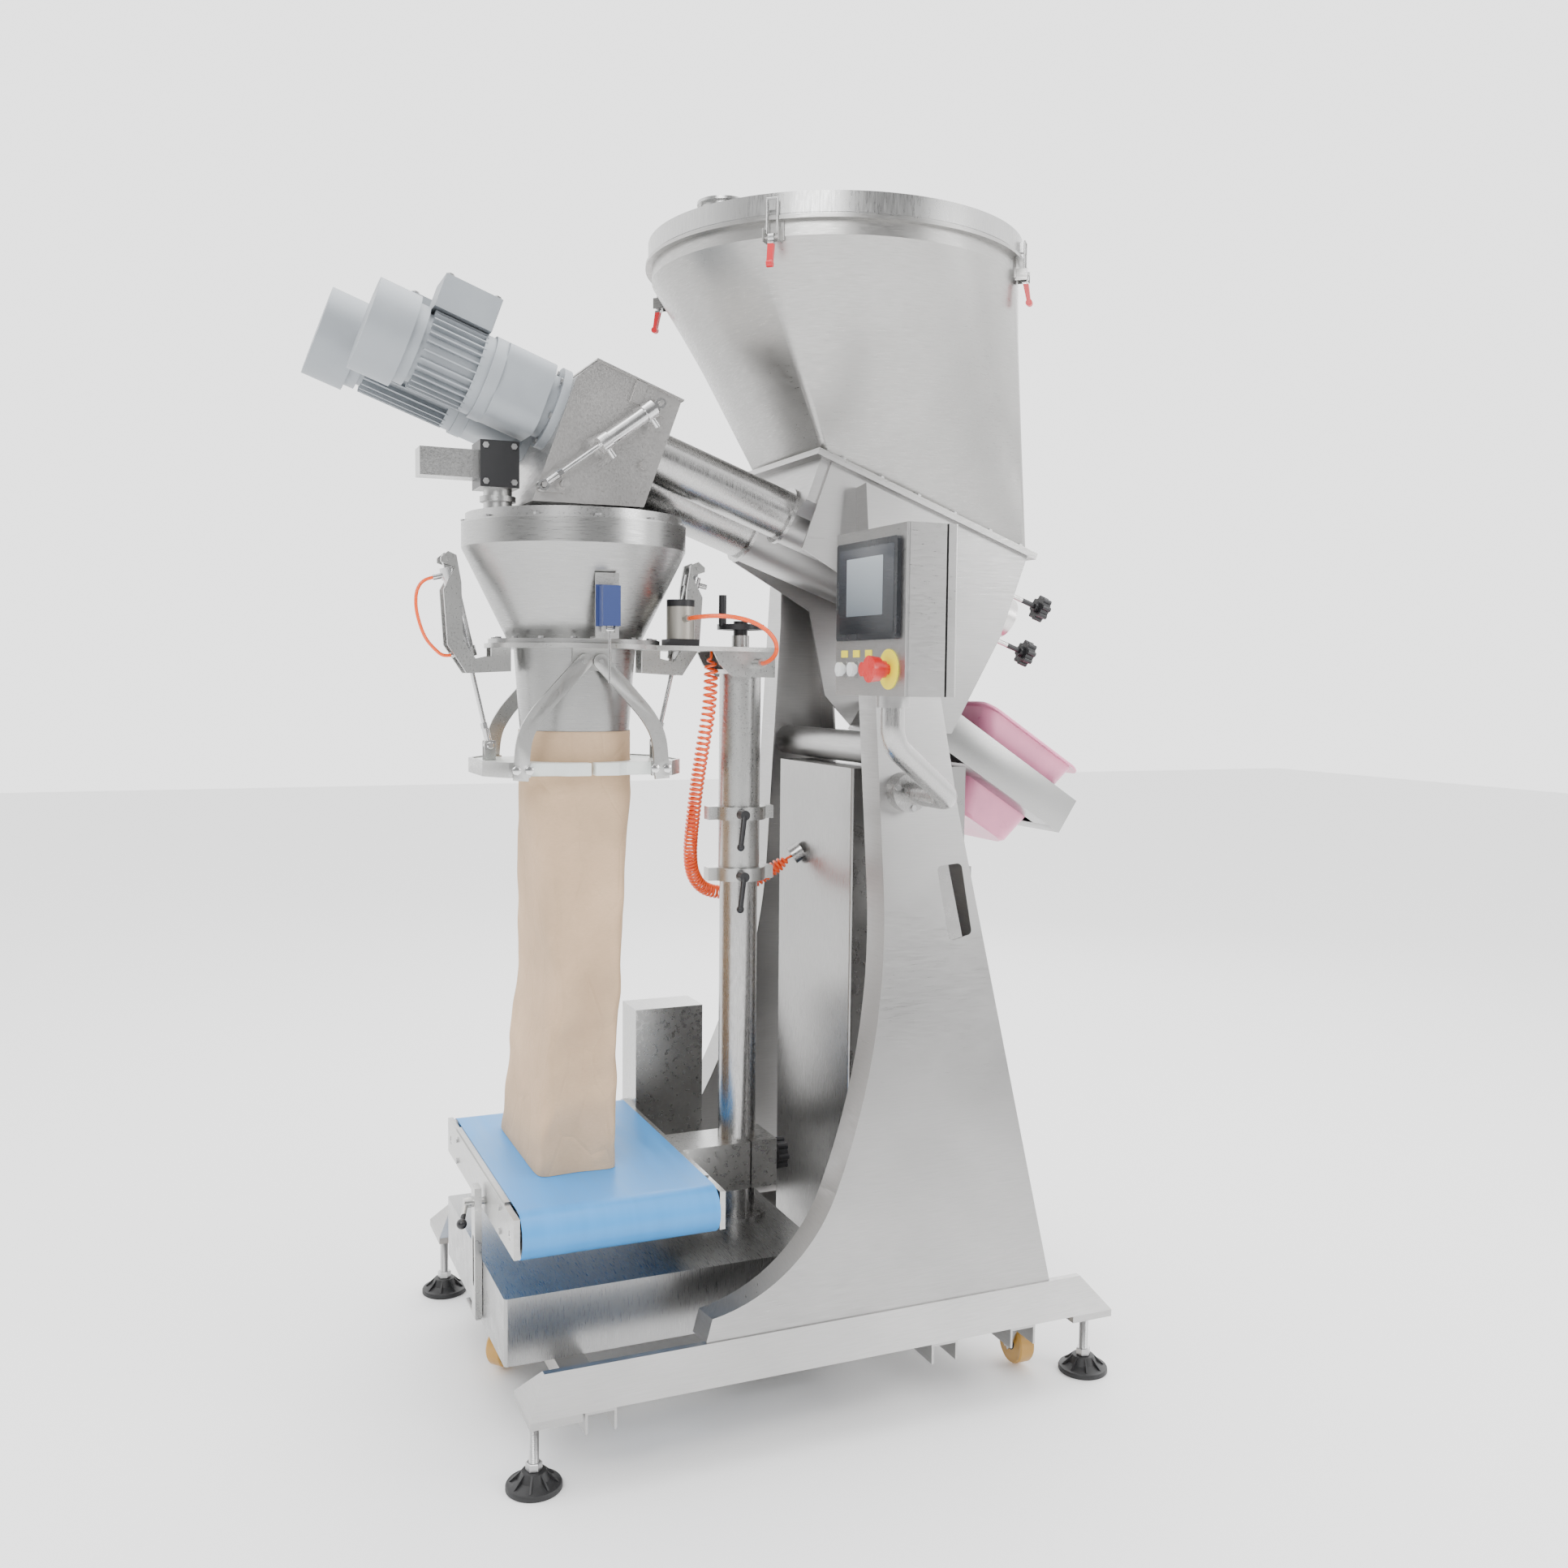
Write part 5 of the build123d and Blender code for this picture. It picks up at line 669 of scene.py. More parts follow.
# ---------------------------------------------------------------- sheet metal
class FILLER_OT_sheet_metal(bpy.types.Operator):
    """Gives the frame, panels, cabinet, hopper and head their steel finishes"""

    bl_idname = "filler.sheet_metal"
    bl_label = "Sheet metal"

    def execute(self, context):
        panel = brushed_steel("panel steel", (3, 3, 90), (0.46, 0.455, 0.45), 0.34)
        dress(panel, "side_frame", "base_frame", "feeder_trough")
        dress(brushed_steel("box steel", (120, 4, 4), (0.42, 0.42, 0.42), 0.28), "base_box")
        dress(brushed_steel("cabinet steel", (5, 120, 4), (0.36, 0.355, 0.35), 0.26), "cabinet_shell", "cabinet_door")
        dress(brushed_steel("hopper steel", (5, 5, 60), (0.42, 0.415, 0.405), 0.30), "hopper_shell")
        dress(brushed_steel("lid steel", (40, 40, 4), (0.48, 0.48, 0.475), 0.27), "hopper_lid")
        dress(brushed_steel("chute steel", (60, 4, 30), (0.50, 0.49, 0.48), 0.33), "chute_box", "flap_gate")
        dress(brushed_steel("tube steel", (60, 60, 6), (0.46, 0.455, 0.45), 0.24), "screw_tubes", "pendant_arm",
              "column_inner")
        dress(brushed_steel("cone steel", (4, 4, 120), (0.38, 0.38, 0.375), 0.27), "filling_cone")
        dress(brushed_steel("head steel", (40, 40, 30), (0.52, 0.52, 0.51), 0.28), "column_head")
        dress(brushed_steel("screw steel", (40, 40, 40), (0.55, 0.55, 0.55), 0.25), "fine_auger", "coarse_auger")
        polished = polished_steel("cylinder steel")
        dress(polished, "flap_barrel", "flap_rod", "front_barrel", "front_rod", "rear_barrel", "rear_rod",
              "switch_whisker", "tail_roller", "drive_roller")
        dress(polished_steel("zinc plate", (0.58, 0.59, 0.60), 0.26), "caster_fork_1", "caster_fork_2",
              "caster_fork_3")
        grip = [((0, 0, 1), 1.90, 1.957)]
        dress(brushed_steel("toggle steel", (60, 60, 60), (0.6, 0.6, 0.6), 0.25, patches=[(grip, (0.62, 0.02, 0.03), 0.0, 0.3)]),
              "toggle_handle_1", "toggle_handle_2", "toggle_handle_3", "toggle_handle_4")
        return {"FINISHED"}


# ---------------------------------------------------------------- drive, conveyor and head fittings
BLACK = (0.014, 0.014, 0.016)


class FILLER_OT_drives(bpy.types.Operator):
    """Finishes the gearmotors, conveyor, valve, vibrator, switch and hand controls"""

    bl_idname = "filler.drives"
    bl_label = "Drives and fittings"

    def execute(self, context):
        colours = settings().filler_finish
        dress(painted_casting("motor paint", tuple(colours.motor)), "gearmotors")
        dress(belt_cover(tuple(colours.belt)), "conveyor_belt")
        knob = box_slabs((0.0405, -0.075, 0.30), (0.09, 0.02, 0.40))
        ball = box_slabs((-0.575, -0.115, 0.311), (-0.550, -0.088, 0.335))
        dress(brushed_steel("conveyor steel", (10, 90, 10), (0.52, 0.52, 0.51), 0.28,
                            patches=[(knob, BLACK, 0.0, 0.4), (ball, BLACK, 0.0, 0.3)]), "conveyor_frame")
        block = box_slabs((-0.5202, -0.09, 1.5602), (-0.44, -0.01, 1.66))
        dress(brushed_steel("cover steel", (30, 30, 60), (0.46, 0.46, 0.455), 0.28,
                            patches=[(block, (0.03, 0.03, 0.032), 0.3, 0.42)]), "cone_cover")
        foot = box_slabs((-0.25, -0.12, 1.30), (-0.10, 0.0, 1.3165))
        cap = box_slabs((-0.25, -0.12, 1.374), (-0.10, 0.0, 1.40))
        body = box_slabs((-0.25, -0.12, 1.3165), (-0.10, 0.0, 1.374))
        dress(brushed_steel("vibrator metal", (20, 20, 20), (0.42, 0.40, 0.37), 0.38,
                            patches=[(body, (0.40, 0.38, 0.34), 0.6, 0.42), (foot, BLACK, 0.0, 0.45),
                                     (cap, BLACK, 0.0, 0.45)]), "vibrator")
        housing = box_slabs((-0.36, -0.21, 1.3315), (-0.30, -0.1768, 1.40))
        dress(brushed_steel("switch metal", (20, 20, 90), (0.70, 0.70, 0.69), 0.28,
                            patches=[(housing, (0.035, 0.055, 0.17), 0.0, 0.4)]), "limit_switch")
        screw = box_slabs((-0.10, -0.10, 1.0), (0.03, 0.05, 1.3262))
        dress(brushed_steel("wheel black", (20, 20, 20), (0.6, 0.6, 0.6), 0.25,
                            patches=[(box_slabs((-0.2, -0.2, 1.3262), (0.2, 0.2, 1.5)), BLACK, 0.0, 0.35),
                                     (screw, (0.6, 0.6, 0.6), 1.0, 0.25)]), "handwheel")
        dress(moulded_plastic("lever black", BLACK, 0.36), "collar_lever_upper", "collar_lever_lower")
        near = SCREW_ORIGIN.dot(SCREW_LINE) + 0.612
        knobs = [(tuple(SCREW_LINE), near, near + 0.2)]
        dress(brushed_steel("port steel", (30, 30, 30), (0.70, 0.68, 0.67), 0.3,
                            patches=[(knobs, BLACK, 0.0, 0.35)]), "cleaning_ports")
        return {"FINISHED"}


# ---------------------------------------------------------------- clamp jaws
ARM_LINE = ((14, 0), (67, -57), (100, -96), (118, -135), (124, -201))
PAD_LINE = ((4, 126), (44, 126), (62, 110.5), (140, 110.5), (172, 60), (172, -60), (140, -110.5), (62, -110.5),
            (44, -126), (4, -126))
BENT_LINE = ((106, -112.5), (142, -112.5), (174, -60), (174, 60), (142, 112.5), (106, 112.5))
PAD_HOLE = 99.6
ARM_HALF = 13.0
PIVOT_Z = 1274.0


def ribbon(points, half):
    """The outline of a strip of even width along a path of 2-D points."""
    left, right = [], []
    for i, point in enumerate(points):
        before, after = points[max(i - 1, 0)], points[min(i + 1, len(points) - 1)]
        along = (after - before).normalized()
        side = Vector((-along.y, along.x)) * half
        left.append(point + side)
        right.append(point - side)
    return left, right


def rounded_strip(line, half, steps=8):
    """A strip outline with a round start about its first point."""
    path = [Vector((point.x, point.y)) for point in smooth_path([(x, y, 0) for x, y in line], steps)]
    left, right = ribbon(path, half)
    start = path[0]
    back = (path[0] - path[1]).normalized()
    side = Vector((-back.y, back.x))
    nose = [start + (back * sin(pi * i / 8) + side * cos(pi * i / 8)) * half for i in range(1, 8)]
    return list(reversed(left)) + list(reversed(nose)) + right


def pad_outline(side):
    """The white pad's outline with its round mouth, about the spout's axis."""
    reach = sqrt(PAD_HOLE ** 2 - 4 ** 2)
    arc = []
    start = -pi / 2 + 0.0402
    for i in range(33):
        turn = start + (pi - 2 * 0.0402) * i / 32
        arc.append((PAD_HOLE * cos(turn), PAD_HOLE * sin(turn)))
    arc[0], arc[-1] = (4, -reach), (4, reach)
    return [(side * x * MM, y * MM) for x, y in list(PAD_LINE) + arc]


class FILLER_OT_clamp(bpy.types.Operator):
    """Makes the two bag clamp jaws with their arms, frames and pads"""

    bl_idname = "filler.clamp"
    bl_label = "Bag clamp"

    def execute(self, context):
        steel = brushed_steel("clamp steel", (40, 6, 40), (0.50, 0.50, 0.49), 0.30)
        white = moulded_plastic("pad white", (0.80, 0.84, 0.81), 0.32, 0.1, coat=0.15)
        pin = polished_steel("pin steel")
        for name, node, body, side in (("front", "front_jaw", "front_clamp", -1), ("rear", "rear_jaw", "rear_clamp", 1)):
            form = Form()
            outline = rounded_strip(ARM_LINE, ARM_HALF)
            for across in (-1, 1):
                flat = [(side * point.x * MM, point.y * MM) for point in outline]
                form.prism(flat, (HEAD.x, across * 0.118 + 0.003, PIVOT_Z * MM), (1, 0, 0), (0, 0, 1), 0.006, 0.0006)
            path = [Vector((side * x, y)) for x, y in BENT_LINE]
            left, right = ribbon(path, 2.5)
            strip = [(point.x * MM, point.y * MM) for point in left + list(reversed(right))]
            form.prism(strip, (HEAD.x, 0, 1.078), (1, 0, 0), (0, 1, 0), 0.026, 0.0006)
            clevis = HEAD.x + side * 0.152
            for across in (-1, 1):
                form.box((clevis - 0.010, across * 0.008 - 0.002, 1.1022), (clevis + 0.010, across * 0.008 + 0.002, 1.136),
                         0.0008)
                form.lathe([(0, 0), (0.0065, 0), (0.0065, 0.003), (0.0045, 0.0045), (0, 0.0045)],
                           (clevis, across * 0.010, 1.128), (0, across, 0), 20, 1)
                for step in (110, 132):
                    form.lathe([(0, 0), (0.008, 0), (0.008, 0.004), (0.006, 0.005), (0, 0.005)],
                               (HEAD.x + side * step * MM, across * 0.121, 1.091), (0, across, 0), 6, 1)
            form.lathe([(0, 0), (0.004, 0), (0.004, 0.024), (0, 0.024)], (clevis, -0.012, 1.128), (0, 1, 0), 20, 1)
            form.piece(name + "_clamp_steel", body, "stainless", [steel, pin], [node])
            pad = Form()
            pad.prism(pad_outline(side), (HEAD.x, 0, 1.080), (1, 0, 0), (0, 1, 0), 0.022, 0.0012)
            pad.piece(name + "_clamp_pad", body, "white_plastic", [white], [node])
        return {"FINISHED"}


# ---------------------------------------------------------------- feet and casters
FOOT_SPOTS = [(x, y) for x in (-0.506, 0.506) for y in (-0.385, 0.385)]


def thread(radius, depth, start, end, pitch):
    """A turned profile with ridges for a thread."""
    count = int((end - start) / pitch)
    profile = [(0, start)]
    for i in range(count):
        profile += [(radius - depth, start + i * pitch), (radius, start + (i + 0.5) * pitch)]
    return profile + [(radius - depth, end), (0, end)]


class FILLER_OT_ground(bpy.types.Operator):
    """Makes the levelling feet and the caster wheels"""

    bl_idname = "filler.ground"
    bl_label = "Feet and casters"

    def execute(self, context):
        rubber = moulded_plastic("foot black", (0.018, 0.018, 0.019), 0.5, 0.3)
        stud_steel = polished_steel("stud steel", (0.55, 0.55, 0.55), 0.3)
        pads, studs = Form(), Form()
        for x, y in FOOT_SPOTS:
            pads.lathe([(0, 0), (0.043, 0), (0.044, 0.0012), (0.044, 0.0065), (0.0425, 0.009), (0.034, 0.0105),
                        (0.025, 0.016), (0.021, 0.024), (0.019, 0.0285), (0.017, 0.029), (0, 0.029)], (x, y, 0),
                       (0, 0, 1), 64)
            for turn in range(8):
                bearing = 2 * pi * (turn + 0.5) / 8
                out = Vector((cos(bearing), sin(bearing), 0))
                rib = [(0.018, 0.0285), (0.019, 0.0285), (0.038, 0.0102), (0.018, 0.0102)]
                pads.prism(rib, Vector((x, y, 0)) - out.cross(Vector((0, 0, 1))) * 0.0015, out, (0, 0, 1), 0.003)
            studs.lathe(thread(0.008, 0.0008, 0.029, 0.131, 0.002), (x, y, 0), (0, 0, 1), 24)
            for z in (0.029, 0.107):
                studs.lathe([(0, 0), (0.0118, 0), (0.013, 0.0012), (0.013, 0.0118), (0.0118, 0.013), (0, 0.013)],
                            (x, y, z), (0, 0, 1), 6)
        pads.piece("foot_pads", "frame", "black_plastic", [rubber], ["levelling_feet"])
        studs.piece("foot_studs", "frame", "stainless", [stud_steel], ["levelling_feet"])
        tread = moulded_plastic("amber tread", tuple(settings().filler_finish.tread), 0.36, 0.2, coat=0.1)
        iron = painted_casting("wheel iron", (0.07, 0.07, 0.075), 0.5)
        for number in (1, 2, 3):
            joint = JOINTS["caster_spin_%d" % number]
            axis = Vector(joint["axis"])
            middle = Vector(joint["pos_m"])
            form = Form()
            start = middle - axis * 0.015
            form.lathe([(0.030, 0.001), (0.0355, 0.0), (0.0375, 0.003), (0.0375, 0.027), (0.0355, 0.030), (0.030, 0.029),
                        (0.030, 0.001)], start, axis, 64)
            form.lathe([(0.0052, 0.0005), (0.013, 0.0005), (0.014, 0.003), (0.016, 0.008), (0.027, 0.007), (0.0302, 0.002),
                        (0.0302, 0.028), (0.027, 0.023), (0.016, 0.022), (0.014, 0.027), (0.013, 0.0295),
                        (0.0052, 0.0295), (0.0052, 0.0005)], start, axis, 48, 1)
            form.piece("caster_roll_%d_wheel" % number, "caster_roll_%d" % number, "wheel_grey", [tread, iron],
                       ["caster_wheel_%d" % number])
        return {"FINISHED"}


# ---------------------------------------------------------------- operator's pendant
FACE_X = -0.020
SCREEN_Y = (-0.626, -0.422)
SCREEN_Z = (1.308, 1.458)
BUTTON_Z = 1.264
TAGS = (-0.440, -0.482, -0.524)


def rounded_outline(width, height, corner, steps=6):
    """A rectangle with round corners about the origin."""
    outline = []
    for cx, cy, start in ((1, 1, 0), (-1, 1, 90), (-1, -1, 180), (1, -1, 270)):
        for i in range(steps + 1):
            turn = radians(start + 90 * i / steps)
            outline.append((cx * (width / 2 - corner) + corner * cos(turn),
                            cy * (height / 2 - corner) + corner * sin(turn)))
    return outline


class FILLER_OT_controls(bpy.types.Operator):
    """Finishes the pendant box, its screen, its tags and its push buttons"""

    bl_idname = "filler.controls"
    bl_label = "Controls"

    def execute(self, context):
        disc = box_slabs((-0.0225, -0.6225, 1.233), (-0.0201, -0.5615, 1.295))
        gap = box_slabs((0.0438, -0.70, 1.20), (0.0472, -0.30, 1.50))
        dress(brushed_steel("pendant steel", (8, 8, 90), (0.46, 0.455, 0.45), 0.33,
                            patches=[(disc, (0.85, 0.75, 0.02), 0.0, 0.4), (gap, (0.03, 0.03, 0.03), 0.0, 0.7)]),
              "pendant_box")
        dress(moulded_plastic("screen bezel", (0.022, 0.024, 0.028), 0.22, 0.05, coat=0.3), "touch_screen")
        dress(moulded_plastic("button white", (0.72, 0.74, 0.74), 0.25, 0.05, coat=0.3), "button_start", "button_reset")
        dress(moulded_plastic("button red", (0.62, 0.02, 0.02), 0.25, 0.05, coat=0.3), "button_stop", "estop_button")
        middle = ((SCREEN_Y[0] + SCREEN_Y[1]) / 2, (SCREEN_Z[0] + SCREEN_Z[1]) / 2)
        # Both screen layers take their first colour at the bottom and their second at the top: a painted reflection.
        glass = Form()
        glass.prism(rounded_outline(0.184, 0.130, 0.004), (FACE_X - 0.0070, middle[0], middle[1]), (0, -1, 0),
                    (0, 0, 1), 0.0003)
        glass.piece("screen_glass", "pendant", "screen", [display_glass("bezel glass", (0.012, 0.014, 0.018),
                                                                        (0.05, 0.055, 0.065))])
        display = Form()
        display.prism(rounded_outline(0.122, 0.088, 0.002), (FACE_X - 0.0073, middle[0] + 0.004, middle[1] + 0.006),
                      (0, -1, 0), (0, 0, 1), 0.0003)
        display.piece("screen_display", "pendant", "screen", [display_glass("display grey", (0.10, 0.12, 0.14),
                                                                            (0.36, 0.40, 0.43))])
        tags = Form()
        for y in TAGS:
            tags.prism(rounded_outline(0.022, 0.011, 0.001), (FACE_X, y, BUTTON_Z + 0.024), (0, -1, 0), (0, 0, 1),
                       0.0008)
        tags.piece("button_tags", "pendant", "painted_grey", [moulded_plastic("tag yellow", (0.85, 0.72, 0.03), 0.4)])
        return {"FINISHED"}


# ---------------------------------------------------------------- rear tray and bin
TRAY_START = Vector((0.280, 0, 1.147))
TRAY_END = Vector((0.576, 0, 0.957))
TRAY_HALF = 0.165
TRAY_HEIGHT = 0.072
TRAY_HOLE = (0.150, 0.324, 0.110)
BIN_TOP = 0.134
BIN_TALL = 0.196
BIN_MOUTH_S = 0.220
BIN_LEAN = 0.025


def tray_point(along, across, up):
    """A point in the tray's sloping frame."""
    slope = (TRAY_END - TRAY_START).normalized()
    rise = Vector((-slope.z, 0, slope.x))
    return TRAY_START + slope * along + Vector((0, across, 0)) + rise * up


class FILLER_OT_tray(bpy.types.Operator):
    """Makes the sloping tray and the catch bin that sits in it"""

    bl_idname = "filler.tray"
    bl_label = "Tray and bin"

    def execute(self, context):
        run = (TRAY_END - TRAY_START).length
        slope = (TRAY_END - TRAY_START).normalized()
        rise = Vector((-slope.z, 0, slope.x))
        steel = brushed_steel("tray steel", (60, 4, 60), (0.42, 0.42, 0.415), 0.30)
        tray = Form()
        inner = TRAY_HALF - 0.002
        start, stop, half = TRAY_HOLE
        plates = [((0, -TRAY_HALF), (run, -inner), 0, TRAY_HEIGHT), ((0, inner), (run, TRAY_HALF), 0, TRAY_HEIGHT),
                  ((0, -inner), (0.002, inner), 0, TRAY_HEIGHT), ((run - 0.002, -inner), (run, inner), 0, TRAY_HEIGHT),
                  ((0.002, -inner), (start, inner), 0, 0.002), ((stop, -inner), (run - 0.002, inner), 0, 0.002),
                  ((start, -inner), (stop, -half), 0, 0.002), ((start, half), (stop, inner), 0, 0.002)]
        for low, high, base, top in plates:
            outline = [(low[0], low[1]), (high[0], low[1]), (high[0], high[1]), (low[0], high[1])]
            tray.prism(outline, TRAY_START + rise * base, slope, (0, 1, 0), top - base, 0.0003)
        tray.piece("sloping_tray", "frame", "stainless", [steel], ["rear_tray"])
        bin_form = Form()
        outer = ((0.1335, 0.1265, 0.1385), (0.131, 0.128, 0.140), (0.1285, 0.1275, 0.1395), (0.1285, 0.1175, 0.1295),
                 (0.118, 0.1130, 0.1265), (0.090, 0.1055, 0.1215), (0.086, 0.1020, 0.1185), (0.0, 0.0800, 0.1045),
                 (-0.055, 0.0650, 0.0940), (-0.0615, 0.0585, 0.0880))
        lining = ((0.1335, 0.1235, 0.1355), (0.130, 0.1150, 0.1270), (0.090, 0.1025, 0.1185), (0.086, 0.0990, 0.1155),
                  (0.0, 0.0770, 0.1015), (-0.052, 0.0630, 0.0915), (-0.0585, 0.0560, 0.0855))
        sides = []
        for levels in (outer, lining):
            rows = []
            for up, long_half, wide_half in levels:
                middle = BIN_MOUTH_S + (BIN_TOP - up) / BIN_TALL * BIN_LEAN
                rows.append([tray_point(middle + x, y, up) for x, y in
                             rounded_outline(2 * long_half, 2 * wide_half, 0.030, 8)])
            sides.append(bin_form.grid(rows, caps=False))
            bin_form.bm.faces.new(sides[-1][-1])
        made, lining = sides
        count = len(made[0])
        for i in range(count):
            j = (i + 1) % count
            bin_form.bm.faces.new((made[0][i], made[0][j], lining[0][j], lining[0][i]))
        bin_form.piece("catch_bin", "frame", None, [moulded_plastic("bin pink", tuple(settings().filler_finish.bin),
                                                                          0.3, 0.05, coat=0.2)], ["rear_tray"])
        return {"FINISHED"}


# ---------------------------------------------------------------- fasteners
def bolt_tree():
    """Geometry Nodes that set a bolt head on every point, facing along the point's own direction."""
    tree = bpy.data.node_groups.new("bolt heads", "GeometryNodeTree")
    tree.interface.new_socket("Geometry", in_out="INPUT", socket_type="NodeSocketGeometry")
    for label, kind in (("Head Radius", "NodeSocketFloat"), ("Head Height", "NodeSocketFloat"),
                        ("Sides", "NodeSocketInt"), ("Finish", "NodeSocketMaterial")):
        tree.interface.new_socket(label, in_out="INPUT", socket_type=kind)
    tree.interface.new_socket("Geometry", in_out="OUTPUT", socket_type="NodeSocketGeometry")
    start = tree.nodes.new("NodeGroupInput")
    head = tree.nodes.new("GeometryNodeMeshCylinder")
    facing = tree.nodes.new("GeometryNodeInputNamedAttribute")
    facing.data_type = "FLOAT_VECTOR"
    facing.inputs["Name"].default_value = "facing"
    turn = tree.nodes.new("FunctionNodeAlignRotationToVector")
    turn.axis = "Z"
    place = tree.nodes.new("GeometryNodeInstanceOnPoints")
    solid = tree.nodes.new("GeometryNodeRealizeInstances")
    paint = tree.nodes.new("GeometryNodeSetMaterial")
    end = tree.nodes.new("NodeGroupOutput")
    for output, target in ((start.outputs["Geometry"], place.inputs["Points"]),
                           (start.outputs["Head Radius"], head.inputs["Radius"]),
                           (start.outputs["Head Height"], head.inputs["Depth"]),
                           (start.outputs["Sides"], head.inputs["Vertices"]),
                           (head.outputs["Mesh"], place.inputs["Instance"]),
                           (facing.outputs[0], turn.inputs["Vector"]),
                           (turn.outputs[0], place.inputs["Rotation"]),
                           (place.outputs["Instances"], solid.inputs[0]),
                           (solid.outputs[0], paint.inputs["Geometry"]),
                           (start.outputs["Finish"], paint.inputs["Material"]),
                           (paint.outputs[0], end.inputs[0])):
        tree.links.new(output, target)
    return tree


def bolts(tree, name, body, spots, radius, height, sides, finish):
    """Bolt heads at (place, facing) spots, as one plain mesh on a body."""
    mesh = bpy.data.meshes.new(name)
    mesh.from_pydata([Vector(place) + Vector(facing).normalized() * height / 2 for place, facing in spots], [], [])
    attribute = mesh.attributes.new("facing", "FLOAT_VECTOR", "POINT")
    for slot, (place, facing) in zip(attribute.data, spots):
        slot.vector = Vector(facing).normalized()
    carrier = bpy.data.objects.new(name + "_points", mesh)
    bpy.context.collection.objects.link(carrier)
    modifier = carrier.modifiers.new("bolts", "NODES")
    modifier.node_group = tree
    values = {"Head Radius": radius, "Head Height": height, "Sides": sides, "Finish": finish}
    for item in tree.interface.items_tree:
        if item.in_out == "INPUT" and item.name in values:
            modifier[item.identifier] = values[item.name]
    evaluated = carrier.evaluated_get(bpy.context.evaluated_depsgraph_get())
    solid = bpy.data.meshes.new_from_object(evaluated)
    bpy.data.objects.remove(carrier)
    solid.name = name
    made = bpy.data.objects.new(name, solid)
    bpy.context.collection.objects.link(made)
    settle(made, body)
    return made


def ring(centre, axis, radius, count, start=0.0):
    """Evenly spaced spots on a circle, each with the circle's own direction."""
    axis = Vector(axis).normalized()
    side = axis.orthogonal().normalized()
    other = axis.cross(side)
    spots = []
    for i in range(count):
        turn = start + 2 * pi * i / count
        spots.append((Vector(centre) + (side * cos(turn) + other * sin(turn)) * radius, axis))
    return spots


def on_screws(u, y, v):
    """A point along, across and square to the screws, in metres."""
    return SCREW_ORIGIN + SCREW_LINE * u + Vector((0, y, 0)) + SCREW_UP * v


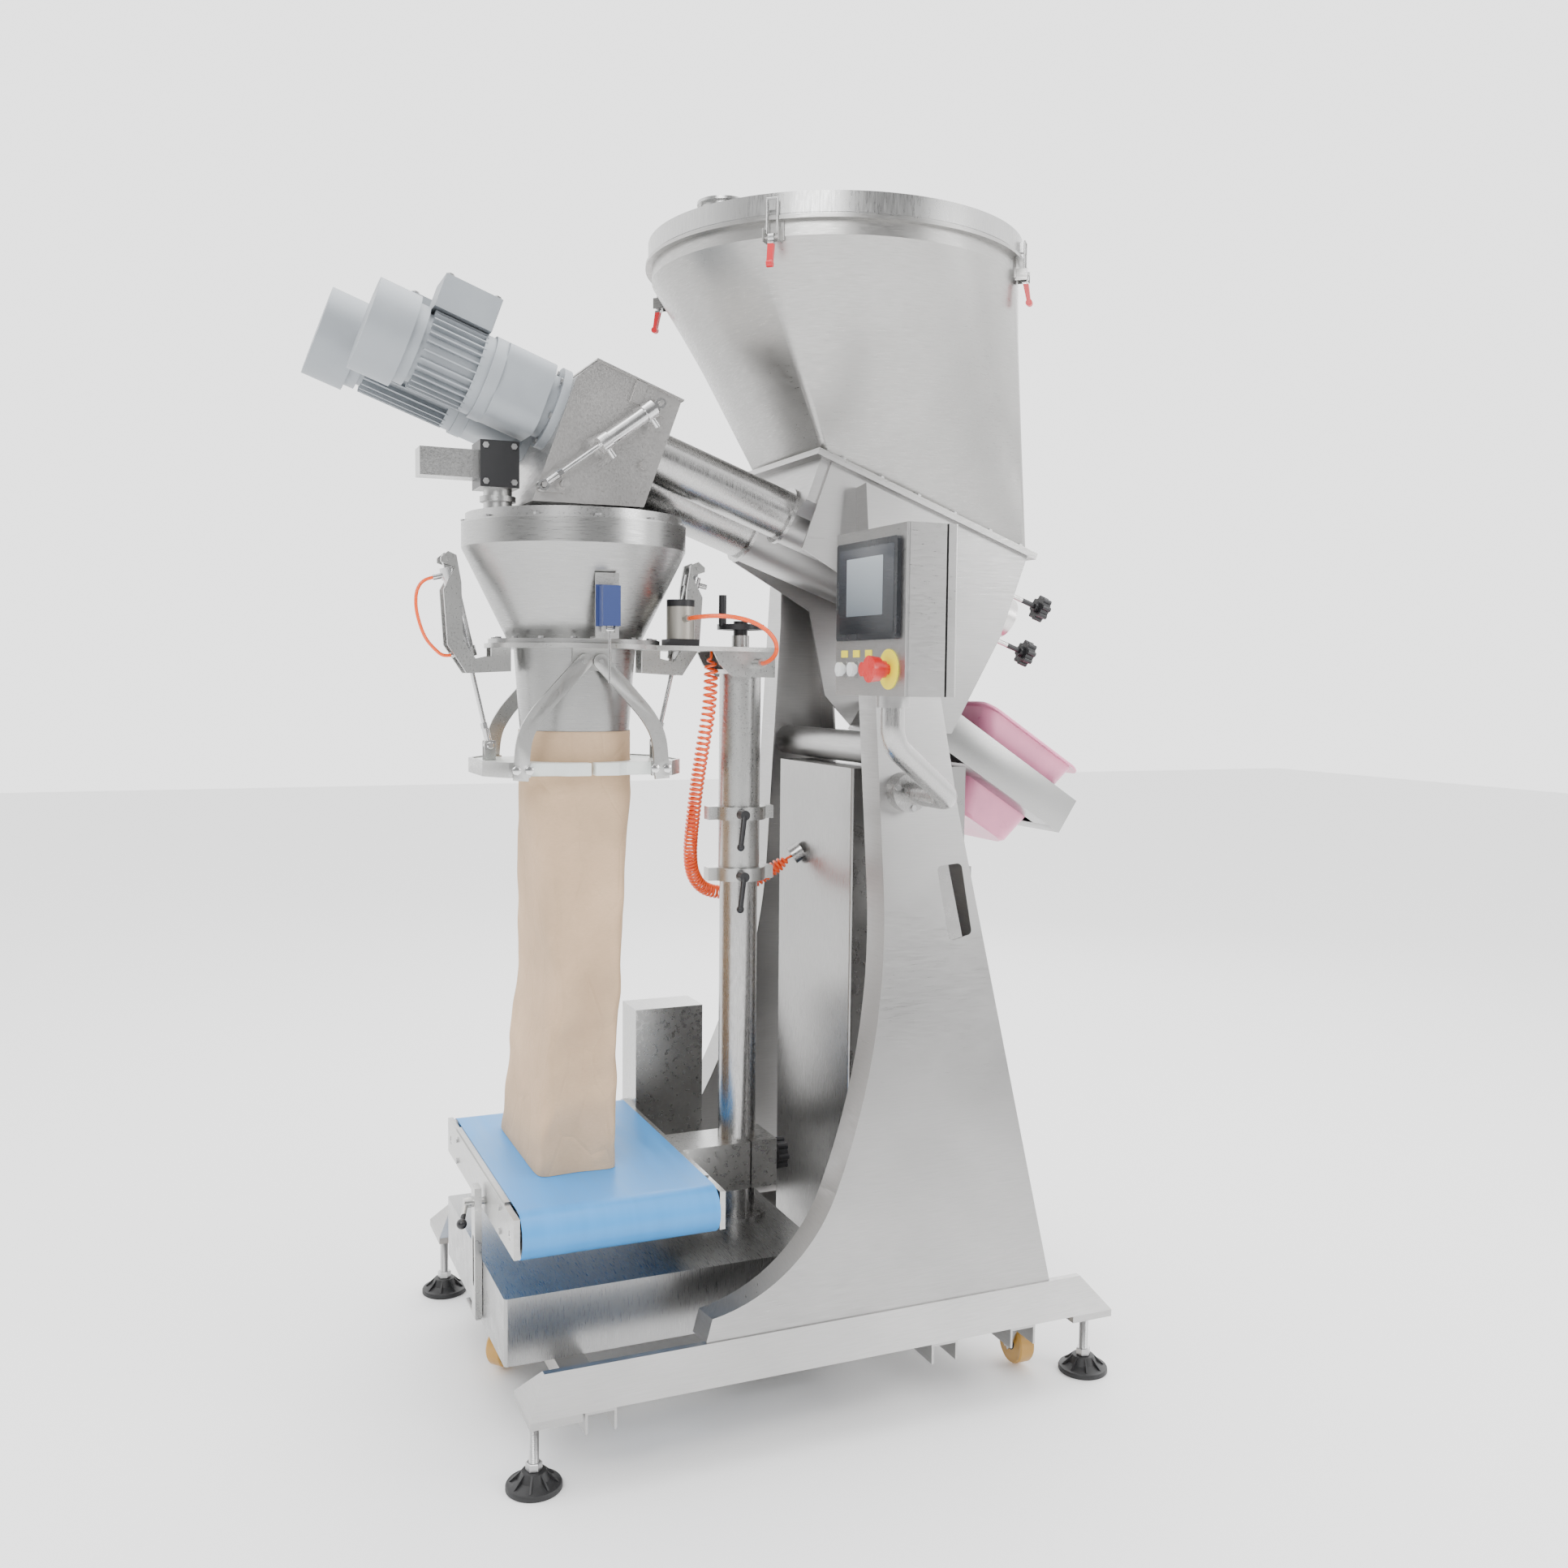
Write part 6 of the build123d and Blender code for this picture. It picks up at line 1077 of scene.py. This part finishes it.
class FILLER_OT_fasteners(bpy.types.Operator):
    """Sets the bolt heads of the deck, flanges, gearmotors, covers and hubs"""

    bl_idname = "filler.fasteners"
    bl_label = "Fasteners"

    def execute(self, context):
        sizes = settings().filler_fasteners
        tree = bolt_tree()
        steel = polished_steel("bolt steel", (0.50, 0.50, 0.50), 0.3)
        deck = ring(HEAD + Vector((0, 0, 1.312)), (0, 0, 1), 0.140, 16, 0.12)
        deck += ring(HEAD + Vector((0, 0, 1.511)), (0, 0, 1), 0.1915, 12, 0.2)
        flange = []
        for u in (0.13, 0.21, 0.29, 0.37, 0.45, 0.52):
            for side in (-1, 1):
                flange.append((on_screws(u, side * 0.172, 0.114), SCREW_UP))
        for y in (-0.085, 0.088):
            flange += ring(on_screws(-0.355 - 0.014, y, 0), -SCREW_LINE, 0.062, 6, 0.4)
        for y, extra in ((-0.085, 0.0), (0.088, 0.058)):
            top = on_screws(-0.355 - 0.194 - extra / 2, y, 0.118)
            for a in (-1, 1):
                for b in (-1, 1):
                    flange.append((top + SCREW_LINE * a * 0.040 + Vector((0, b * 0.038, 0)), SCREW_UP))
        hub = [(Vector((0.176 + 0.027 * cos(t), -0.305, 1.054 + 0.027 * sin(t))), (0, -1, 0)) for t in
               (0.7, 0.7 + 2 * pi / 3, 0.7 + 4 * pi / 3)]
        rails = [(Vector((x, y, z)), (-1, 0, 0)) for x in (-0.517,) for y in (-0.27, -0.20, 0.17, 0.24) for z in
                 (0.340, 0.380) if abs(y + 0.27) > 0.01 and abs(y - 0.24) > 0.01]
        valve = [(Vector((x, -0.085, z)), (0, -1, 0)) for x in (-0.511, -0.464) for z in (1.569, 1.628)]
        size = (sizes.head, sizes.height, sizes.sides, steel)
        bolts(tree, "head_bolts", "head", deck + valve, *size)
        bolts(tree, "frame_bolts", "frame", flange + hub, *size)
        bolts(tree, "conveyor_bolts", "conveyor", rails, *size)
        return {"FINISHED"}


# ---------------------------------------------------------------- panel, registration and run
OPERATORS = (FILLER_OT_stage, FILLER_OT_hoses, FILLER_OT_bag, FILLER_OT_sheet_metal, FILLER_OT_drives, FILLER_OT_clamp,
             FILLER_OT_ground, FILLER_OT_controls, FILLER_OT_tray, FILLER_OT_fasteners)
GROUPS = (("filler_finish", FinishSettings), ("filler_hose", HoseSettings), ("filler_bag", BagSettings),
          ("filler_fasteners", FastenerSettings))


class FILLER_PT_panel(bpy.types.Panel):
    """Lists the steps and their settings"""

    bl_idname = "FILLER_PT_panel"
    bl_label = "Bag Filling Machine"
    bl_space_type = "VIEW_3D"
    bl_region_type = "UI"
    bl_category = "Filler"

    def draw(self, context):
        for operator in OPERATORS:
            self.layout.operator(operator.bl_idname)
        for name, group in GROUPS:
            box = self.layout.box()
            for field in group.__annotations__:
                box.prop(getattr(context.scene, name), field)


def register():
    """Registers the classes and the scene's settings."""
    for name, group in GROUPS:
        bpy.utils.register_class(group)
        setattr(bpy.types.Scene, name, PointerProperty(type=group))
    for cls in (*OPERATORS, FILLER_PT_panel):
        bpy.utils.register_class(cls)


def unregister():
    """Removes the classes and the scene's settings."""
    for cls in (FILLER_PT_panel, *reversed(OPERATORS)):
        bpy.utils.unregister_class(cls)
    for name, group in reversed(GROUPS):
        delattr(bpy.types.Scene, name)
        bpy.utils.unregister_class(group)


def main():
    """Builds the whole scene."""
    register()
    for operator in OPERATORS:
        family, step = operator.bl_idname.split(".")
        getattr(getattr(bpy.ops, family), step)()


if __name__ == "__main__":
    main()
